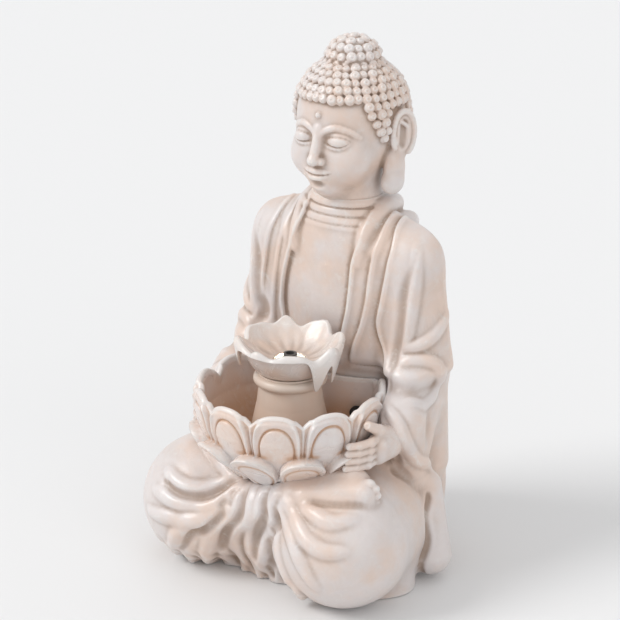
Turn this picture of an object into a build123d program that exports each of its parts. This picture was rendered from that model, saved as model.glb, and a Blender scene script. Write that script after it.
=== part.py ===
"""Tabletop water fountain: a seated figure in cast resin that holds a lotus basin in its lap.

A submersible pump stands on the basin floor under a lift-off pedestal. It feeds a ruffled cup, where a ring
of lamps surrounds the spout, and the water falls back over the cup's lobes into the basin.
Millimetres, +Z up, the figure faces -Y, and the origin is the middle of the footprint on the table.
"""

import os
from math import asin, cos, sin

from build123d import *

# Driving dimensions of the figure
WALL = 7.0  # cast resin wall
GLUE_GAP = 0.3  # bond line between two castings
FLOOR_COVER = 4.0  # thickness of the fibreboard under the figure
HEAD_Y = 50.0
NECK_TOP = 338.0  # joint between the body and head castings
HEAD_Z = 420.0
TOPKNOT_Z = 473.0
TORSO = [
    (-10.0, 62.0, 92.0, 69.5),
    (60.0, 62.0, 92.0, 70.0),
    (120.0, 66.0, 84.0, 60.0),
    (175.0, 66.0, 74.0, 54.0),
    (225.0, 63.0, 76.0, 50.0),
    (270.0, 56.0, 82.0, 48.0),
    (303.0, 53.0, 76.0, 44.0),
    (323.0, 51.0, 54.0, 38.0),
    (NECK_TOP, 51.0, 35.0, 33.0),
]
# the same for the crossed legs and the robe over them, under the basin
LAP = [
    (-12.0, -20.0, 120.0, 56.0),
    (40.0, -24.0, 124.0, 60.0),
    (85.0, -24.0, 108.0, 56.0),
    (124.0, -6.0, 84.0, 44.0),
]
KNEE = (79.0, -67.0, 60.5)
KNEE_R = 62.5
HIP = (62.0, 18.0, 58.0)
HIP_R = 58.0
SHOULDER = (71.0, 53.0, 290.0)
ELBOW = (80.0, 50.0, 188.0)
CUFF = (97.0, -12.0, 152.0)
SHOULDER_R = 25.0
ELBOW_R = 26.0
CUFF_R = 20.0

# Driving dimensions of the basin and what stands in it
BASIN_Y = -42.0  # axis shared by the basin, pedestal, cup and spout
BASIN_BOTTOM = 108.0
BASIN_FLOOR = 115.0  # inside
BASIN_RIM = 180.0  # rim between the petals
PETAL_TOP = 191.0
BASIN_FOOT_R = 52.0
BASIN_RIM_R = 89.0
BASIN_WALL = 6.0
UPPER_PETALS = 11
LOWER_PETALS = 11
PETAL_TURN = -62.0  # bearing of one upper petal's middle, in degrees
CORD_HOLE_R = 5.0
CORD_HOLE_AT = (37.0, 16.0)  # where its line meets the belly
CORD_HOLE_TURN = 21.0  # degrees its line is turned from -Y
CORD_HOLE_Z = 150.0
REAR_HOLE_R = 7.0
REAR_WALL_Y = 128.2  # middle of the back wall at the rear hole
REAR_HOLE_Z = 22.0
CORD_R = 3.0  # bore that the grommets leave for the cord

COVER_TOP = 200.0  # pedestal's top face, where the cup sits
COVER_R = 40.0
COVER_WALL = 4.0
COLLAR_R = 29.0  # middle of the rolled collar
COLLAR_ROLL = 5.0
CUP_LIP_R = 49.0
CUP_LIP_Z = 238.0
SPIGOT_R = 19.0
SPOUT_R = 6.3
SPOUT_BORE_R = 4.3
SPOUT_TOP = 217.0
LAMP_R = 15.0
LAMP_BOTTOM = 202.0
LAMP_TOP = 212.0
LEDS = 4

# Driving dimensions of the pump
PUMP_FOOT = 120.0  # underside of the pump, on its suction cups
PUMP_H = 34.0
PUMP_W = 34.0
PUMP_BACK = 20.0  # half-lengths from the basin axis
PUMP_FRONT = 10.0
INTAKE_DEPTH = 11.0
OUTLET_Y = BASIN_Y - 5.0
SHAFT_R = 1.0
SHAFT_CLEARANCE = 0.05
ROTOR_R = 5.4
IMPELLER_R = 7.6
ROTOR_Z = PUMP_FOOT + 11.5
FRONT_Y = BASIN_Y - PUMP_FRONT  # face that the volute cover closes
BACK_Y = BASIN_Y + PUMP_BACK
CHAMBER_DEPTH = 9.0
WELL_DEPTH = 20.0
WELL_R = ROTOR_R + 0.8
STATOR_Z = PUMP_FOOT + 26.0
LEG_X = 11.6
LEG_W = 5.4
INTAKE_FACE = FRONT_Y - 2.6 - INTAKE_DEPTH

# Driving dimensions of the underside
PAD_H = 1.5
SCREWS = [(-76.0, -22.0), (76.0, -22.0), (-50.0, 90.0), (50.0, 90.0)]
PADS = [(-52.0, -40.0), (52.0, -40.0), (-30.0, 104.0), (30.0, 104.0)]

nodes = {}


def slope(rows, k, item):
    """Rise of one item of the rows per millimetre of height at row k."""
    low, high = rows[max(k - 1, 0)], rows[min(k + 1, len(rows) - 1)]
    return (high[item] - low[item]) / (high[0] - low[0])


def section_at(rows, z):
    """Cubic through the rows' values, read at height z."""
    k = max(i for i in range(len(rows) - 1) if rows[i][0] <= z)
    low, high = rows[k], rows[k + 1]
    span = high[0] - low[0]
    t = (z - low[0]) / span
    values = [z]
    for item in (1, 2, 3):
        start = (1 + 2 * t) * (1 - t) ** 2 * low[item] + t * (1 - t) ** 2 * span * slope(rows, k, item)
        end = t * t * (3 - 2 * t) * high[item] + t * t * (t - 1) * span * slope(rows, k + 1, item)
        values.append(start + end)
    return values


def ellipse_loft(rows, grow=0.0, top=None, step=14.0):
    """Smooth solid through ellipses (z, middle y, half width, half depth), all grown alike, up to a height."""
    bottom = rows[0][0]
    top = rows[-1][0] if top is None else top
    count = round((top - bottom) / step)
    faces = []
    for k in range(count + 1):
        z, y, half_x, half_y = section_at(rows, bottom + (top - bottom) * k / count)
        faces.append(Plane.XY.offset(z) * Pos(0, y) * Ellipse(half_x + grow, half_y + grow))
    return loft(faces)


def ellipsoid(centre, radii, turn=0.0):
    """Closed ellipsoid, turned about Z by turn degrees."""
    return Pos(*centre) * Rot(0, 0, turn) * scale(Sphere(1), by=radii)


def capsule(start, end, start_r, end_r):
    """Limb with round ends: two balls joined by a cone."""
    a, b = Vector(*start), Vector(*end)
    path = Plane(origin=a, z_dir=b - a)
    length = (b - a).length
    tilt = asin((start_r - end_r) / length)
    middle = length / 2 + (start_r + end_r) * sin(tilt) / 2
    height = length + (end_r - start_r) * sin(tilt)
    if start_r == end_r:
        side = Cylinder(start_r, height)
    else:
        side = Cone(start_r * cos(tilt), end_r * cos(tilt), height)
    return (path * Pos(0, 0, middle) * side) + Pos(*start) * Sphere(start_r) + Pos(*end) * Sphere(end_r)


def turned(points, centre_y=BASIN_Y):
    """Solid of revolution about the basin's axis from (radius, z) points joined by straight lines."""
    outline = Plane.XZ * make_face(Polyline(*points, close=True))
    return Pos(0, centre_y, 0) * revolve(outline, Axis.Z)


def mirrored(shape):
    """The same piece on the other side of the figure."""
    return shape.mirror(Plane.YZ)


# ---------------------------------------------------------------- figure body
# (z, middle y, half width, half depth) of the back, chest and shoulders


def below_table():
    """Block that trims a shape at the table's surface."""
    return Pos(0, 0, -100) * Box(600, 600, 200)


def torso(grow=0.0):
    return ellipse_loft(TORSO, grow) - below_table()


def inner_wall(rows):
    """Hollow inside a lofted wall: the same sections less the wall, stopping short of the top."""
    return ellipse_loft(rows, -WALL, rows[-1][0] - 2 * WALL)


def basin_envelope(grow=0.0):
    """Everything that the basin and its petals reach, as one turned solid."""
    return turned(
        [
            (0, BASIN_BOTTOM - grow),
            (61 + grow, BASIN_BOTTOM - grow),
            (84 + grow, 131),
            (94 + grow, 184),
            (94 + grow, 260),
            (0, 260),
        ]
    )


def make_figure_body():
    """One hollow casting: back, chest, crossed legs and sleeves, open underneath."""
    thigh = capsule(HIP, KNEE, HIP_R, KNEE_R) - below_table()
    upper_arm = capsule(SHOULDER, ELBOW, SHOULDER_R, ELBOW_R)
    sleeve = capsule(ELBOW, CUFF, ELBOW_R, CUFF_R)
    drape = capsule((91.0, 36.0, 160.0), (97.0, 18.0, 110.0), 22.0, 16.0)
    cuff_end = Plane(origin=CUFF, z_dir=Vector(*CUFF) - Vector(*ELBOW))
    side = upper_arm + sleeve + drape - (cuff_end * Pos(0, 0, 50) * Box(100, 100, 100))
    lap = ellipse_loft(LAP) - below_table() + thigh + mirrored(thigh)
    limbs = lap + side + mirrored(side) - basin_envelope(GLUE_GAP)
    body = torso() + limbs - inner_wall(TORSO)
    clear_of_basin = basin_envelope(WALL)
    body = body - (inner_wall(LAP) - clear_of_basin)
    inner_thigh = capsule(HIP, KNEE, HIP_R - WALL, KNEE_R - WALL) - clear_of_basin
    body = body - inner_thigh - mirrored(inner_thigh)
    rear_exit = Pos(0, 125, REAR_HOLE_Z) * Rot(90, 0, 0) * Cylinder(REAR_HOLE_R, 60)
    return body - rear_exit - cord_hole(CORD_HOLE_R)


def cover_outline(inset):
    """Underside opening of the casting, inset from its inner wall."""
    back = Pos(0, TORSO[0][1]) * Ellipse(TORSO[0][2] - inset, TORSO[0][3] - inset)
    front = Pos(0, LAP[0][1]) * Ellipse(LAP[0][2] - inset, LAP[0][3] - inset)
    return back + front


def make_head():
    """Hollow head casting: skull with its cap of curls, topknot, long-lobed ears and the neck."""
    skull = ellipsoid((0, HEAD_Y + 2, HEAD_Z), (53.0, 56.0, 54.0))
    jaw = ellipsoid((0, HEAD_Y - 12, HEAD_Z - 28), (42.0, 41.0, 43.0))
    topknot = ellipsoid((0, HEAD_Y + 6, TOPKNOT_Z), (27.0, 27.0, 24.0))
    neck = ellipse_loft(
        [(NECK_TOP - 10, 51.0, 36.0, 34.0), (352.0, 50.0, 34.0, 32.0), (385.0, 50.0, 35.0, 35.0)]
    )
    ear = ellipsoid((52.0, HEAD_Y + 8, HEAD_Z - 14), (6.0, 13.0, 24.0), -18.0)
    lobe = ellipsoid((49.0, HEAD_Y + 5, HEAD_Z - 48), (6.5, 9.0, 20.0), -18.0)
    head = skull + jaw + topknot + neck + ear + mirrored(ear) + lobe + mirrored(lobe)
    hollow = ellipsoid((0, HEAD_Y + 2, HEAD_Z), (53.0 - WALL, 56.0 - WALL, 54.0 - WALL))
    throat = Pos(0, 50, 360) * Cylinder(24, 80)
    head = head - hollow - throat
    below = Pos(0, 0, NECK_TOP + GLUE_GAP - 100) * Cylinder(45, 200)
    return head - Pos(0, 50, 0) * below


def make_hand():
    """Left hand, cast apart: palm against the basin's side, four fingers round the front and a raised thumb."""
    wrist = Vector(*CUFF)
    toward = (wrist - Vector(*ELBOW)).normalized()
    start = wrist + toward * GLUE_GAP
    arm = capsule(tuple(start), (98.0, -34.0, 149.0), 15.0, 14.5)
    palm = capsule((98.0, -34.0, 152.0), (97.0, -58.0, 152.0), 13.5, 12.0)
    heel = capsule((98.0, -34.0, 142.0), (96.0, -58.0, 138.0), 13.5, 11.0)
    fingers = []
    for k in range(4):
        z = 160.0 - 9.3 * k
        knuckle_y = -62.0 - 1.5 * k
        bend = (91.0 - 4.0 * k, knuckle_y - 12.0, z)
        tip = (78.0 - 6.0 * k, knuckle_y - 28.0, z - 1.0)
        fingers.append(capsule((97.0 - 2.0 * k, knuckle_y + 8.0, z), bend, 6.2, 5.6))
        fingers.append(capsule(bend, tip, 5.6, 4.8))
    thumb = capsule((99.0, -42.0, 160.0), (95.0, -60.0, 176.0), 7.5, 5.5)
    hand = arm + [palm, heel, thumb] + fingers
    behind = Plane(origin=start, z_dir=-toward) * Pos(0, 0, 50) * Box(120, 120, 100)
    thigh = capsule(HIP, KNEE, HIP_R + GLUE_GAP, KNEE_R + GLUE_GAP)
    return hand - behind - basin_envelope(GLUE_GAP * 2) - thigh


# ---------------------------------------------------------------- lotus basin
def petal_blank(bottom, top, inner_low, inner_high, thickness):
    """Turned band that the petals of one tier are cut from, wider at the top."""
    return turned(
        [
            (inner_low, bottom),
            (inner_low + thickness, bottom),
            (inner_high + thickness, top - 5),
            (inner_high + thickness - 2, top),
            (inner_high, top),
        ]
    )


def petal_window(angle, radius, middle_z, half_width, half_height):
    """Oval prism that points out from the basin's axis at an angle."""
    return (
        Pos(0, BASIN_Y, middle_z)
        * Rot(0, 0, angle)
        * Pos(radius, 0, 0)
        * Rot(0, 90, 0)
        * Pos(0, 0, -20)
        * extrude(Ellipse(half_height, half_width), 60)
    )


def make_basin():
    """Basin casting: turned bowl with two tiers of petals, closed at the back against the figure's belly."""
    bowl = turned(
        [
            (0, BASIN_BOTTOM),
            (BASIN_FOOT_R, BASIN_BOTTOM),
            (BASIN_FOOT_R + 18, BASIN_BOTTOM + 20),
            (BASIN_RIM_R - 2, 160),
            (BASIN_RIM_R, BASIN_RIM),
            (0, BASIN_RIM),
        ]
    )
    upper = petal_blank(134, PETAL_TOP, 73, BASIN_RIM_R - BASIN_WALL, BASIN_WALL + 3.5)
    lower = petal_blank(BASIN_BOTTOM + 2, 142, 50, 74, 9)
    petals = []
    for k in range(UPPER_PETALS):
        angle = PETAL_TURN + 360 / UPPER_PETALS * k
        petals.append(upper & petal_window(angle, 70, 152, 23, PETAL_TOP - 152))
    for k in range(LOWER_PETALS):
        angle = PETAL_TURN + 360 / LOWER_PETALS * (k + 0.5)
        petals.append(lower & petal_window(angle, 55, 122, 20, 20))
    water = turned(
        [
            (0, BASIN_FLOOR),
            (BASIN_FOOT_R - 4, BASIN_FLOOR),
            (BASIN_FOOT_R + 12, BASIN_BOTTOM + 22),
            (BASIN_RIM_R - BASIN_WALL - 2, 158),
            (BASIN_RIM_R - BASIN_WALL, PETAL_TOP + 1),
            (0, PETAL_TOP + 1),
        ]
    )
    water -= torso(GLUE_GAP + BASIN_WALL)
    basin = bowl + petals - water - torso(GLUE_GAP)
    return basin - cord_hole(CORD_HOLE_R)


# the supply cord's hole runs out through the basin wall behind the figure's left thumb


def cord_line():
    """Place on the belly behind the basin whose +Z looks square out of the wall."""
    return Pos(*CORD_HOLE_AT, CORD_HOLE_Z) * Rot(0, 0, CORD_HOLE_TURN) * Rot(90, 0, 0)


def cord_hole(radius):
    """Level drill through the basin's rear wall and the figure's shell behind it."""
    return cord_line() * Cylinder(radius, 30)


def make_grommets():
    """Rubber bush in the basin wall's cord hole, and a grommet with two flanges low on the figure's back."""
    neck = Pos(0, 0, 4.1) * Cylinder(CORD_HOLE_R - 0.1, 7.2)
    flange = Pos(0, 0, 8.6) * Cylinder(CORD_HOLE_R + 2.0, 2)
    in_basin = cord_line() * (neck + flange - Cylinder(CORD_R, 100))
    neck = Cylinder(REAR_HOLE_R - 0.1, WALL + 1.4)
    inner = Pos(0, 0, -WALL / 2 - 1.5) * Cylinder(REAR_HOLE_R + 2.0, 2)
    outer = Pos(0, 0, WALL / 2 + 1.75) * Cylinder(REAR_HOLE_R + 2.0, 2.1)
    in_back = Pos(0, REAR_WALL_Y, REAR_HOLE_Z) * Rot(-90, 0, 0) * (neck + inner + outer - Cylinder(CORD_R, 100))
    return in_basin, in_back


# ---------------------------------------------------------------- pedestal and cup
def make_pump_cover():
    """Lift-off pedestal over the pump: flared skirt, rolled collar and a top plate with the cup's socket."""
    skirt = turned(
        [
            (0, BASIN_FLOOR + GLUE_GAP),
            (COVER_R, BASIN_FLOOR + GLUE_GAP),
            (COVER_R, BASIN_FLOOR + 12),
            (COVER_R - 4, BASIN_FLOOR + 32),
            (COLLAR_R + 2, BASIN_FLOOR + 55),
            (COLLAR_R, 186),
            (COLLAR_R, COVER_TOP),
            (0, COVER_TOP),
        ]
    )
    collar = Pos(0, BASIN_Y, 193.5) * Torus(COLLAR_R, COLLAR_ROLL)
    inside = turned(
        [
            (0, BASIN_FLOOR),
            (COVER_R - COVER_WALL, BASIN_FLOOR),
            (COVER_R - COVER_WALL, BASIN_FLOOR + 12),
            (COVER_R - 4 - COVER_WALL, BASIN_FLOOR + 32),
            (COLLAR_R + 2 - COVER_WALL, BASIN_FLOOR + 55),
            (COLLAR_R - COVER_WALL, 186),
            (COLLAR_R - COVER_WALL, COVER_TOP - 5),
            (0, COVER_TOP - 5),
        ]
    )
    socket = Pos(0, BASIN_Y, COVER_TOP) * Cylinder(SPIGOT_R + 0.4, 30)
    cover = skirt + collar - inside - socket
    for k in range(5):
        arch = Pos(0, BASIN_Y, BASIN_FLOOR) * Rot(0, 0, 18 + 72 * k) * Pos(COVER_R - 2, 0, 0)
        cover -= arch * Rot(0, 90, 0) * Cylinder(5.0, 20)
    return cover


def make_cup():
    """Ruffled cup that the water wells up in: turned body, lobed lip, spigot below and a seat for the lamp ring."""
    outside = turned(
        [
            (0, COVER_TOP + GLUE_GAP),
            (27, COVER_TOP + GLUE_GAP),
            (34, 208),
            (39, 218),
            (CUP_LIP_R, 230),
            (CUP_LIP_R, CUP_LIP_Z),
            (0, CUP_LIP_Z),
        ]
    )
    inside = turned(
        [
            (0, 208),
            (28, 208),
            (35, 219),
            (CUP_LIP_R - 4.5, 232),
            (CUP_LIP_R - 2.5, CUP_LIP_Z + 1),
            (0, CUP_LIP_Z + 1),
        ]
    )
    spigot = Pos(0, BASIN_Y, COVER_TOP - 2.5) * Cylinder(SPIGOT_R, 8)
    cup = outside - inside + spigot
    lamp_seat = Pos(0, BASIN_Y, 212) * Cylinder(LAMP_R + 0.3, 20)
    through = Pos(0, BASIN_Y, COVER_TOP) * Cylinder(SPOUT_R + 1.2, 40)
    cup = cup - lamp_seat - through
    for k in range(7):
        notch = Pos(0, BASIN_Y, CUP_LIP_Z + 3) * Rot(0, 0, 10 + 360 / 7 * k) * Pos(CUP_LIP_R, 0, 0)
        cup -= notch * Rot(0, 90, 0) * Cylinder(8.0, 24)
    return cup


# ---------------------------------------------------------------- lamp ring


def make_lamps():
    """Potted ring of four lamps: dark tray, four domed diodes and a clear potting disc over them."""
    bore_r = SPOUT_R + 0.9
    tray = turned(
        [
            (bore_r, LAMP_BOTTOM),
            (LAMP_R, LAMP_BOTTOM),
            (LAMP_R, LAMP_TOP - 2),
            (LAMP_R - 1.2, LAMP_TOP - 2),
            (LAMP_R - 1.2, LAMP_BOTTOM + 2),
            (bore_r + 1.0, LAMP_BOTTOM + 2),
            (bore_r + 1.0, LAMP_TOP - 2),
            (bore_r, LAMP_TOP - 2),
        ]
    )
    ring_r = (LAMP_R + bore_r) / 2
    diodes = []
    for k in range(LEDS):
        place = Pos(0, BASIN_Y, LAMP_BOTTOM + 2) * Rot(0, 0, 45 + 90 * k) * Pos(ring_r, 0, 0)
        stem = Pos(0, 0, 2) * Cylinder(2.3, 4)
        dome = Pos(0, 0, 4) * Sphere(2.3)
        diodes.append(place * (stem + dome))
    leds = Compound(children=diodes)
    lens = turned(
        [
            (bore_r + 1.1, LAMP_BOTTOM + 2.1),
            (LAMP_R - 1.3, LAMP_BOTTOM + 2.1),
            (LAMP_R - 1.3, LAMP_TOP),
            (bore_r + 1.1, LAMP_TOP),
        ]
    )
    for diode in diodes:
        lens = lens - diode
    return tray, leds, lens


# ---------------------------------------------------------------- pump
def rounded_box(length_x, length_y, height, radius):
    """Box with its four upright edges rounded, standing on Z = 0."""
    return extrude(RectangleRounded(length_x, length_y, radius), height)


def along_y(shape, y, z):
    """Carries a shape made on +Z so that its axis runs along +Y from y at height z."""
    return Pos(0, y, z) * Rot(-90, 0, 0) * shape


def make_pump_housing():
    """Moulded housing: impeller chamber in front, rotor well behind it, potted coil pocket and the outlet stub."""
    length = PUMP_FRONT + PUMP_BACK
    block = Pos(0, BASIN_Y + (PUMP_BACK - PUMP_FRONT) / 2, PUMP_FOOT) * rounded_box(
        PUMP_W, length, PUMP_H, 4.0
    )
    space = Pos(0, 0, CHAMBER_DEPTH / 2 - 0.5) * Cylinder(IMPELLER_R + 1.4, CHAMBER_DEPTH + 1)
    chamber = along_y(space, FRONT_Y, ROTOR_Z)
    well_start = FRONT_Y + CHAMBER_DEPTH
    well = along_y(Pos(0, 0, WELL_DEPTH / 2 - 1) * Cylinder(WELL_R, WELL_DEPTH), well_start, ROTOR_Z)
    stub = Pos(0, OUTLET_Y, PUMP_FOOT + PUMP_H + 3.9) * Cylinder(4.2, 8)
    waterway = Pos(0, OUTLET_Y, PUMP_FOOT + PUMP_H - 2) * Cylinder(2.6, 30)
    pocket = Pos(0, BACK_Y - 7.5, STATOR_Z) * Box(PUMP_W - 4, 16, 14)
    for side in (-1, 1):
        pocket += Pos(side * LEG_X, BACK_Y - 9.0, STATOR_Z - 9) * Box(LEG_W + 0.6, 13, 22)
    return block + stub - chamber - well - waterway - pocket


def make_stator():
    """U-shaped laminations that straddle the rotor well, the coil on their bridge and the potting that seals both."""
    core = Pos(0, BACK_Y - 9.6, STATOR_Z) * Box(28, 7, 5)
    for side in (-1, 1):
        core += Pos(side * LEG_X, BACK_Y - 9.6, STATOR_Z - 7.5) * Box(LEG_W, 9, 24)
    coil = Pos(0, BACK_Y - 9.6, STATOR_Z) * (Box(16, 9.8, 12) - Box(30, 7.2, 5.2))
    potting = Pos(0, BACK_Y - 2.0, STATOR_Z) * Box(PUMP_W - 4.2, 3.4, 13.8)
    potting -= Pos(0, BACK_Y, STATOR_Z) * Rot(90, 0, 0) * Cylinder(3.1, 12)
    neck = Pos(0, BACK_Y - 1.4, STATOR_Z) * Rot(90, 0, 0) * Cylinder(3.0, 5)
    collar = Pos(0, BACK_Y + 1.3, STATOR_Z) * Rot(90, 0, 0) * Cylinder(4.4, 2.4)
    gland = neck + collar - Pos(0, BACK_Y, STATOR_Z) * Rot(90, 0, 0) * Cylinder(1.6, 30)
    return core, coil, potting, gland


def make_rotor():
    """Wet rotor: a magnet sleeve and a four-bladed impeller that turn together on a fixed ceramic shaft."""
    magnet_len = 15.5
    start = FRONT_Y + CHAMBER_DEPTH + 0.6
    bore = Cylinder(SHAFT_R + SHAFT_CLEARANCE, 100)
    magnet = along_y(Pos(0, 0, magnet_len / 2) * Cylinder(ROTOR_R, magnet_len) - bore, start, ROTOR_Z)
    hub = Pos(0, 0, 3.2) * Cylinder(2.8, 6.4)
    disc = Pos(0, 0, 5.8) * Cylinder(IMPELLER_R - 0.3, 1.2)
    blades = hub + disc
    for k in range(4):
        blades += Rot(0, 0, 45 + 90 * k) * Pos(4.4, 0, 3.2) * Box(5.6, 1.2, 6.2)
    impeller = along_y(blades - bore, FRONT_Y + 2.4, ROTOR_Z)
    return magnet, impeller


def make_shaft():
    """Ceramic shaft with a rubber bush on each end."""
    front = FRONT_Y - 1.5
    back = FRONT_Y + CHAMBER_DEPTH + WELL_DEPTH - 1.1
    shaft = along_y(Pos(0, 0, (back - front) / 2) * Cylinder(SHAFT_R, back - front), front, ROTOR_Z)
    rear_bush = along_y(Pos(0, 0, -0.8) * (Cylinder(WELL_R - 1.4, 1.5) - Cylinder(SHAFT_R, 20)), back, ROTOR_Z)
    front_bush = along_y(Pos(0, 0, 0.75) * (Cylinder(2.4, 1.5) - Cylinder(SHAFT_R, 20)), front, ROTOR_Z)
    return shaft, Compound(children=[front_bush, rear_bush])


def make_volute_cover():
    """Plate over the impeller chamber: a ring inlet with three ribs to the seat of the front bush."""
    plate = Pos(0, FRONT_Y - 1.25, PUMP_FOOT + PUMP_H / 2) * Box(PUMP_W - 5, 2.4, PUMP_H - 3)
    inlet = along_y(Cylinder(5.6, 12), FRONT_Y, ROTOR_Z)
    seat = along_y(Pos(0, 0, 1.2) * Cylinder(3.4, 2.4), FRONT_Y - 2.45, ROTOR_Z)
    cover = plate - inlet + seat
    for k in range(3):
        rib = along_y(Rot(0, 0, 30 + 120 * k) * Pos(4.4, 0, 1.2) * Box(3.4, 1.2, 2.4), FRONT_Y - 2.45, ROTOR_Z)
        cover += rib
    bush_seat = along_y(Pos(0, 0, 0.75) * Cylinder(2.4, 1.5), FRONT_Y - 1.5, ROTOR_Z)
    return cover - bush_seat - along_y(Cylinder(SHAFT_R, 40), FRONT_Y, ROTOR_Z)


def make_intake():
    """Clip-on strainer: slotted front, foam pad behind it and a shutter that slides across the slots."""
    shell = Pos(0, FRONT_Y - 2.6 - INTAKE_DEPTH / 2, PUMP_FOOT) * rounded_box(PUMP_W, INTAKE_DEPTH, PUMP_H, 3.0)
    inside = Pos(0, FRONT_Y - 2.6 - INTAKE_DEPTH / 2 + 1.0, PUMP_FOOT + 1.6) * Box(
        PUMP_W - 3.2, INTAKE_DEPTH - 2.0 + 0.01, PUMP_H - 3.2, align=(Align.CENTER, Align.CENTER, Align.MIN)
    )
    grille = shell - inside
    for k in range(6):
        z = PUMP_FOOT + 6 + 3.4 * k
        grille -= Pos(0, INTAKE_FACE, z) * Box(PUMP_W - 10, 8, 1.6)
    foam = Pos(0, FRONT_Y - 2.7 - 3.0, PUMP_FOOT + PUMP_H / 2) * Box(PUMP_W - 3.6, 5.8, PUMP_H - 3.6)
    plate = Pos(-4.0, INTAKE_FACE - 0.85, PUMP_FOOT + 14.5) * Box(14, 1.4, 20)
    knob = Pos(-4.0, INTAKE_FACE - 2.2, PUMP_FOOT + 14.5) * Box(4, 1.8, 8)
    return grille, foam, plate + knob


def make_riser():
    """Soft tube from the pump's outlet stub up to the middle of the cup, where it forms the spout."""
    start_z = PUMP_FOOT + PUMP_H + 1.2
    line = FilletPolyline(
        (0, OUTLET_Y, start_z),
        (0, OUTLET_Y, start_z + 14),
        (0, BASIN_Y, start_z + 30),
        (0, BASIN_Y, SPOUT_TOP),
        radius=12,
    )
    tube = sweep(Plane(origin=(0, OUTLET_Y, start_z), z_dir=(0, 0, 1)) * Circle(SPOUT_R), line)
    bore = sweep(Plane(origin=(0, OUTLET_Y, start_z), z_dir=(0, 0, 1)) * Circle(SPOUT_BORE_R), line)
    return tube - bore


def make_suction_cups():
    """Four rubber suckers that hold the pump on the basin floor."""
    cups = []
    for x in (-11.0, 11.0):
        for y in (BASIN_Y - 4.0, BASIN_Y + 14.0):
            profile = [(0, 5.0), (2.2, 5.0), (2.2, 3.2), (5.4, 0.0), (4.0, 0.0), (0, 2.0)]
            outline = Plane.XZ * make_face(Polyline(*profile, close=True))
            cups.append(Pos(x, y, BASIN_FLOOR) * revolve(outline, Axis.Z))
    return Compound(children=cups)


# ---------------------------------------------------------------- underside
def make_underside():
    """Fibreboard cover let into the casting's open base, four screws and the blocks that they bite into."""
    board = extrude(cover_outline(WALL + 2.0), FLOOR_COVER)
    board = Pos(0, 0, PAD_H) * board
    screws, blocks, pads = [], [], []
    for x, y in SCREWS:
        head = Pos(x, y, PAD_H + 1.0) * Cylinder(3.5, 1.8)
        stem = Pos(x, y, PAD_H + 9.0) * Cylinder(1.75, 15.0)
        screws.append(head + stem)
        board -= Pos(x, y, PAD_H + 1.0) * Cylinder(3.8, 2.2)
        board -= Pos(x, y, PAD_H) * Cylinder(2.0, 20.0)
        block = Pos(x, y, PAD_H + FLOOR_COVER + 0.1) * extrude(RectangleRounded(14, 14, 2), 14)
        blocks.append(block - Pos(x, y, PAD_H + 9.0) * Cylinder(1.75, 30.0))
    for x, y in PADS:
        pads.append(Pos(x, y, PAD_H / 2) * Cylinder(8.0, PAD_H))
    return board, Compound(children=screws), Compound(children=blocks), Compound(children=pads)


def build():
    nodes["figure_body"] = make_figure_body()
    nodes["figure_head"] = make_head()
    hand = make_hand()
    nodes["left_hand"] = hand
    nodes["right_hand"] = mirrored(hand)
    nodes["lotus_basin"] = make_basin()
    nodes["basin_grommet"], nodes["rear_grommet"] = make_grommets()
    nodes["pump_cover"] = make_pump_cover()
    nodes["flower_cup"] = make_cup()
    nodes["lamp_tray"], nodes["lamp_diodes"], nodes["lamp_lens"] = make_lamps()
    nodes["pump_housing"] = make_pump_housing()
    nodes["stator_core"], nodes["stator_coil"], nodes["potting"], nodes["cord_gland"] = make_stator()
    nodes["rotor_magnet"], nodes["impeller"] = make_rotor()
    nodes["pump_shaft"], nodes["shaft_bushes"] = make_shaft()
    nodes["volute_cover"] = make_volute_cover()
    nodes["intake_strainer"], nodes["foam_filter"], nodes["flow_shutter"] = make_intake()
    nodes["riser_tube"] = make_riser()
    nodes["suction_cups"] = make_suction_cups()
    nodes["base_board"], nodes["base_screws"], nodes["screw_blocks"], nodes["foot_pads"] = make_underside()


if __name__ == "__main__":
    os.makedirs("parts", exist_ok=True)
    build()
    for name, shape in nodes.items():
        export_step(shape, f"parts/{name}.step")
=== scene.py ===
"""Tabletop water fountain: looks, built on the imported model's frame."""
from math import cos, pi, radians, sin

import bpy
import numpy as np
from mathutils import Matrix, Vector


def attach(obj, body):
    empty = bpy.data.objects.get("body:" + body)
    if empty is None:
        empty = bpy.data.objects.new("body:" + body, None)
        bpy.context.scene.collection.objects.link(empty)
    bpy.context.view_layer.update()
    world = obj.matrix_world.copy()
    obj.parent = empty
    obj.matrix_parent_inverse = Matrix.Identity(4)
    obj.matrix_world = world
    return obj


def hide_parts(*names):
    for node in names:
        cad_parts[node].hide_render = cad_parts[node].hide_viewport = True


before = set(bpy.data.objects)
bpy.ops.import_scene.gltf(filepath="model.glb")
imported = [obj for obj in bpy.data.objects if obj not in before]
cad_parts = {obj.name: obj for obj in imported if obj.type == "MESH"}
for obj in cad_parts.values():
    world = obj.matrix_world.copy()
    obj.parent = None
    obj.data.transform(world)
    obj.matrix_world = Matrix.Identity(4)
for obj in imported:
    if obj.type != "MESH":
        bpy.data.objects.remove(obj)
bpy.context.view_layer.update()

# ---------------------------------------------------------------- figure body
# The seated figure is one slush-cast shell of filled polyresin: back, chest, crossed legs and the robe's
# folds all come out of one mould. It is modelled in soft clay first, so it is worked out here the same way:
# lumps are pressed together, and folds are drawn on and scraped in with round tools.
MM = 0.001


def melt(a, b, soft):
    """Union of two distance fields with a fillet: the lower one, less a parabola where they are close."""
    near = np.maximum(soft - np.abs(a - b), 0.0) / soft
    return np.minimum(a, b) - near * near * (soft * 0.25)


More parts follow.
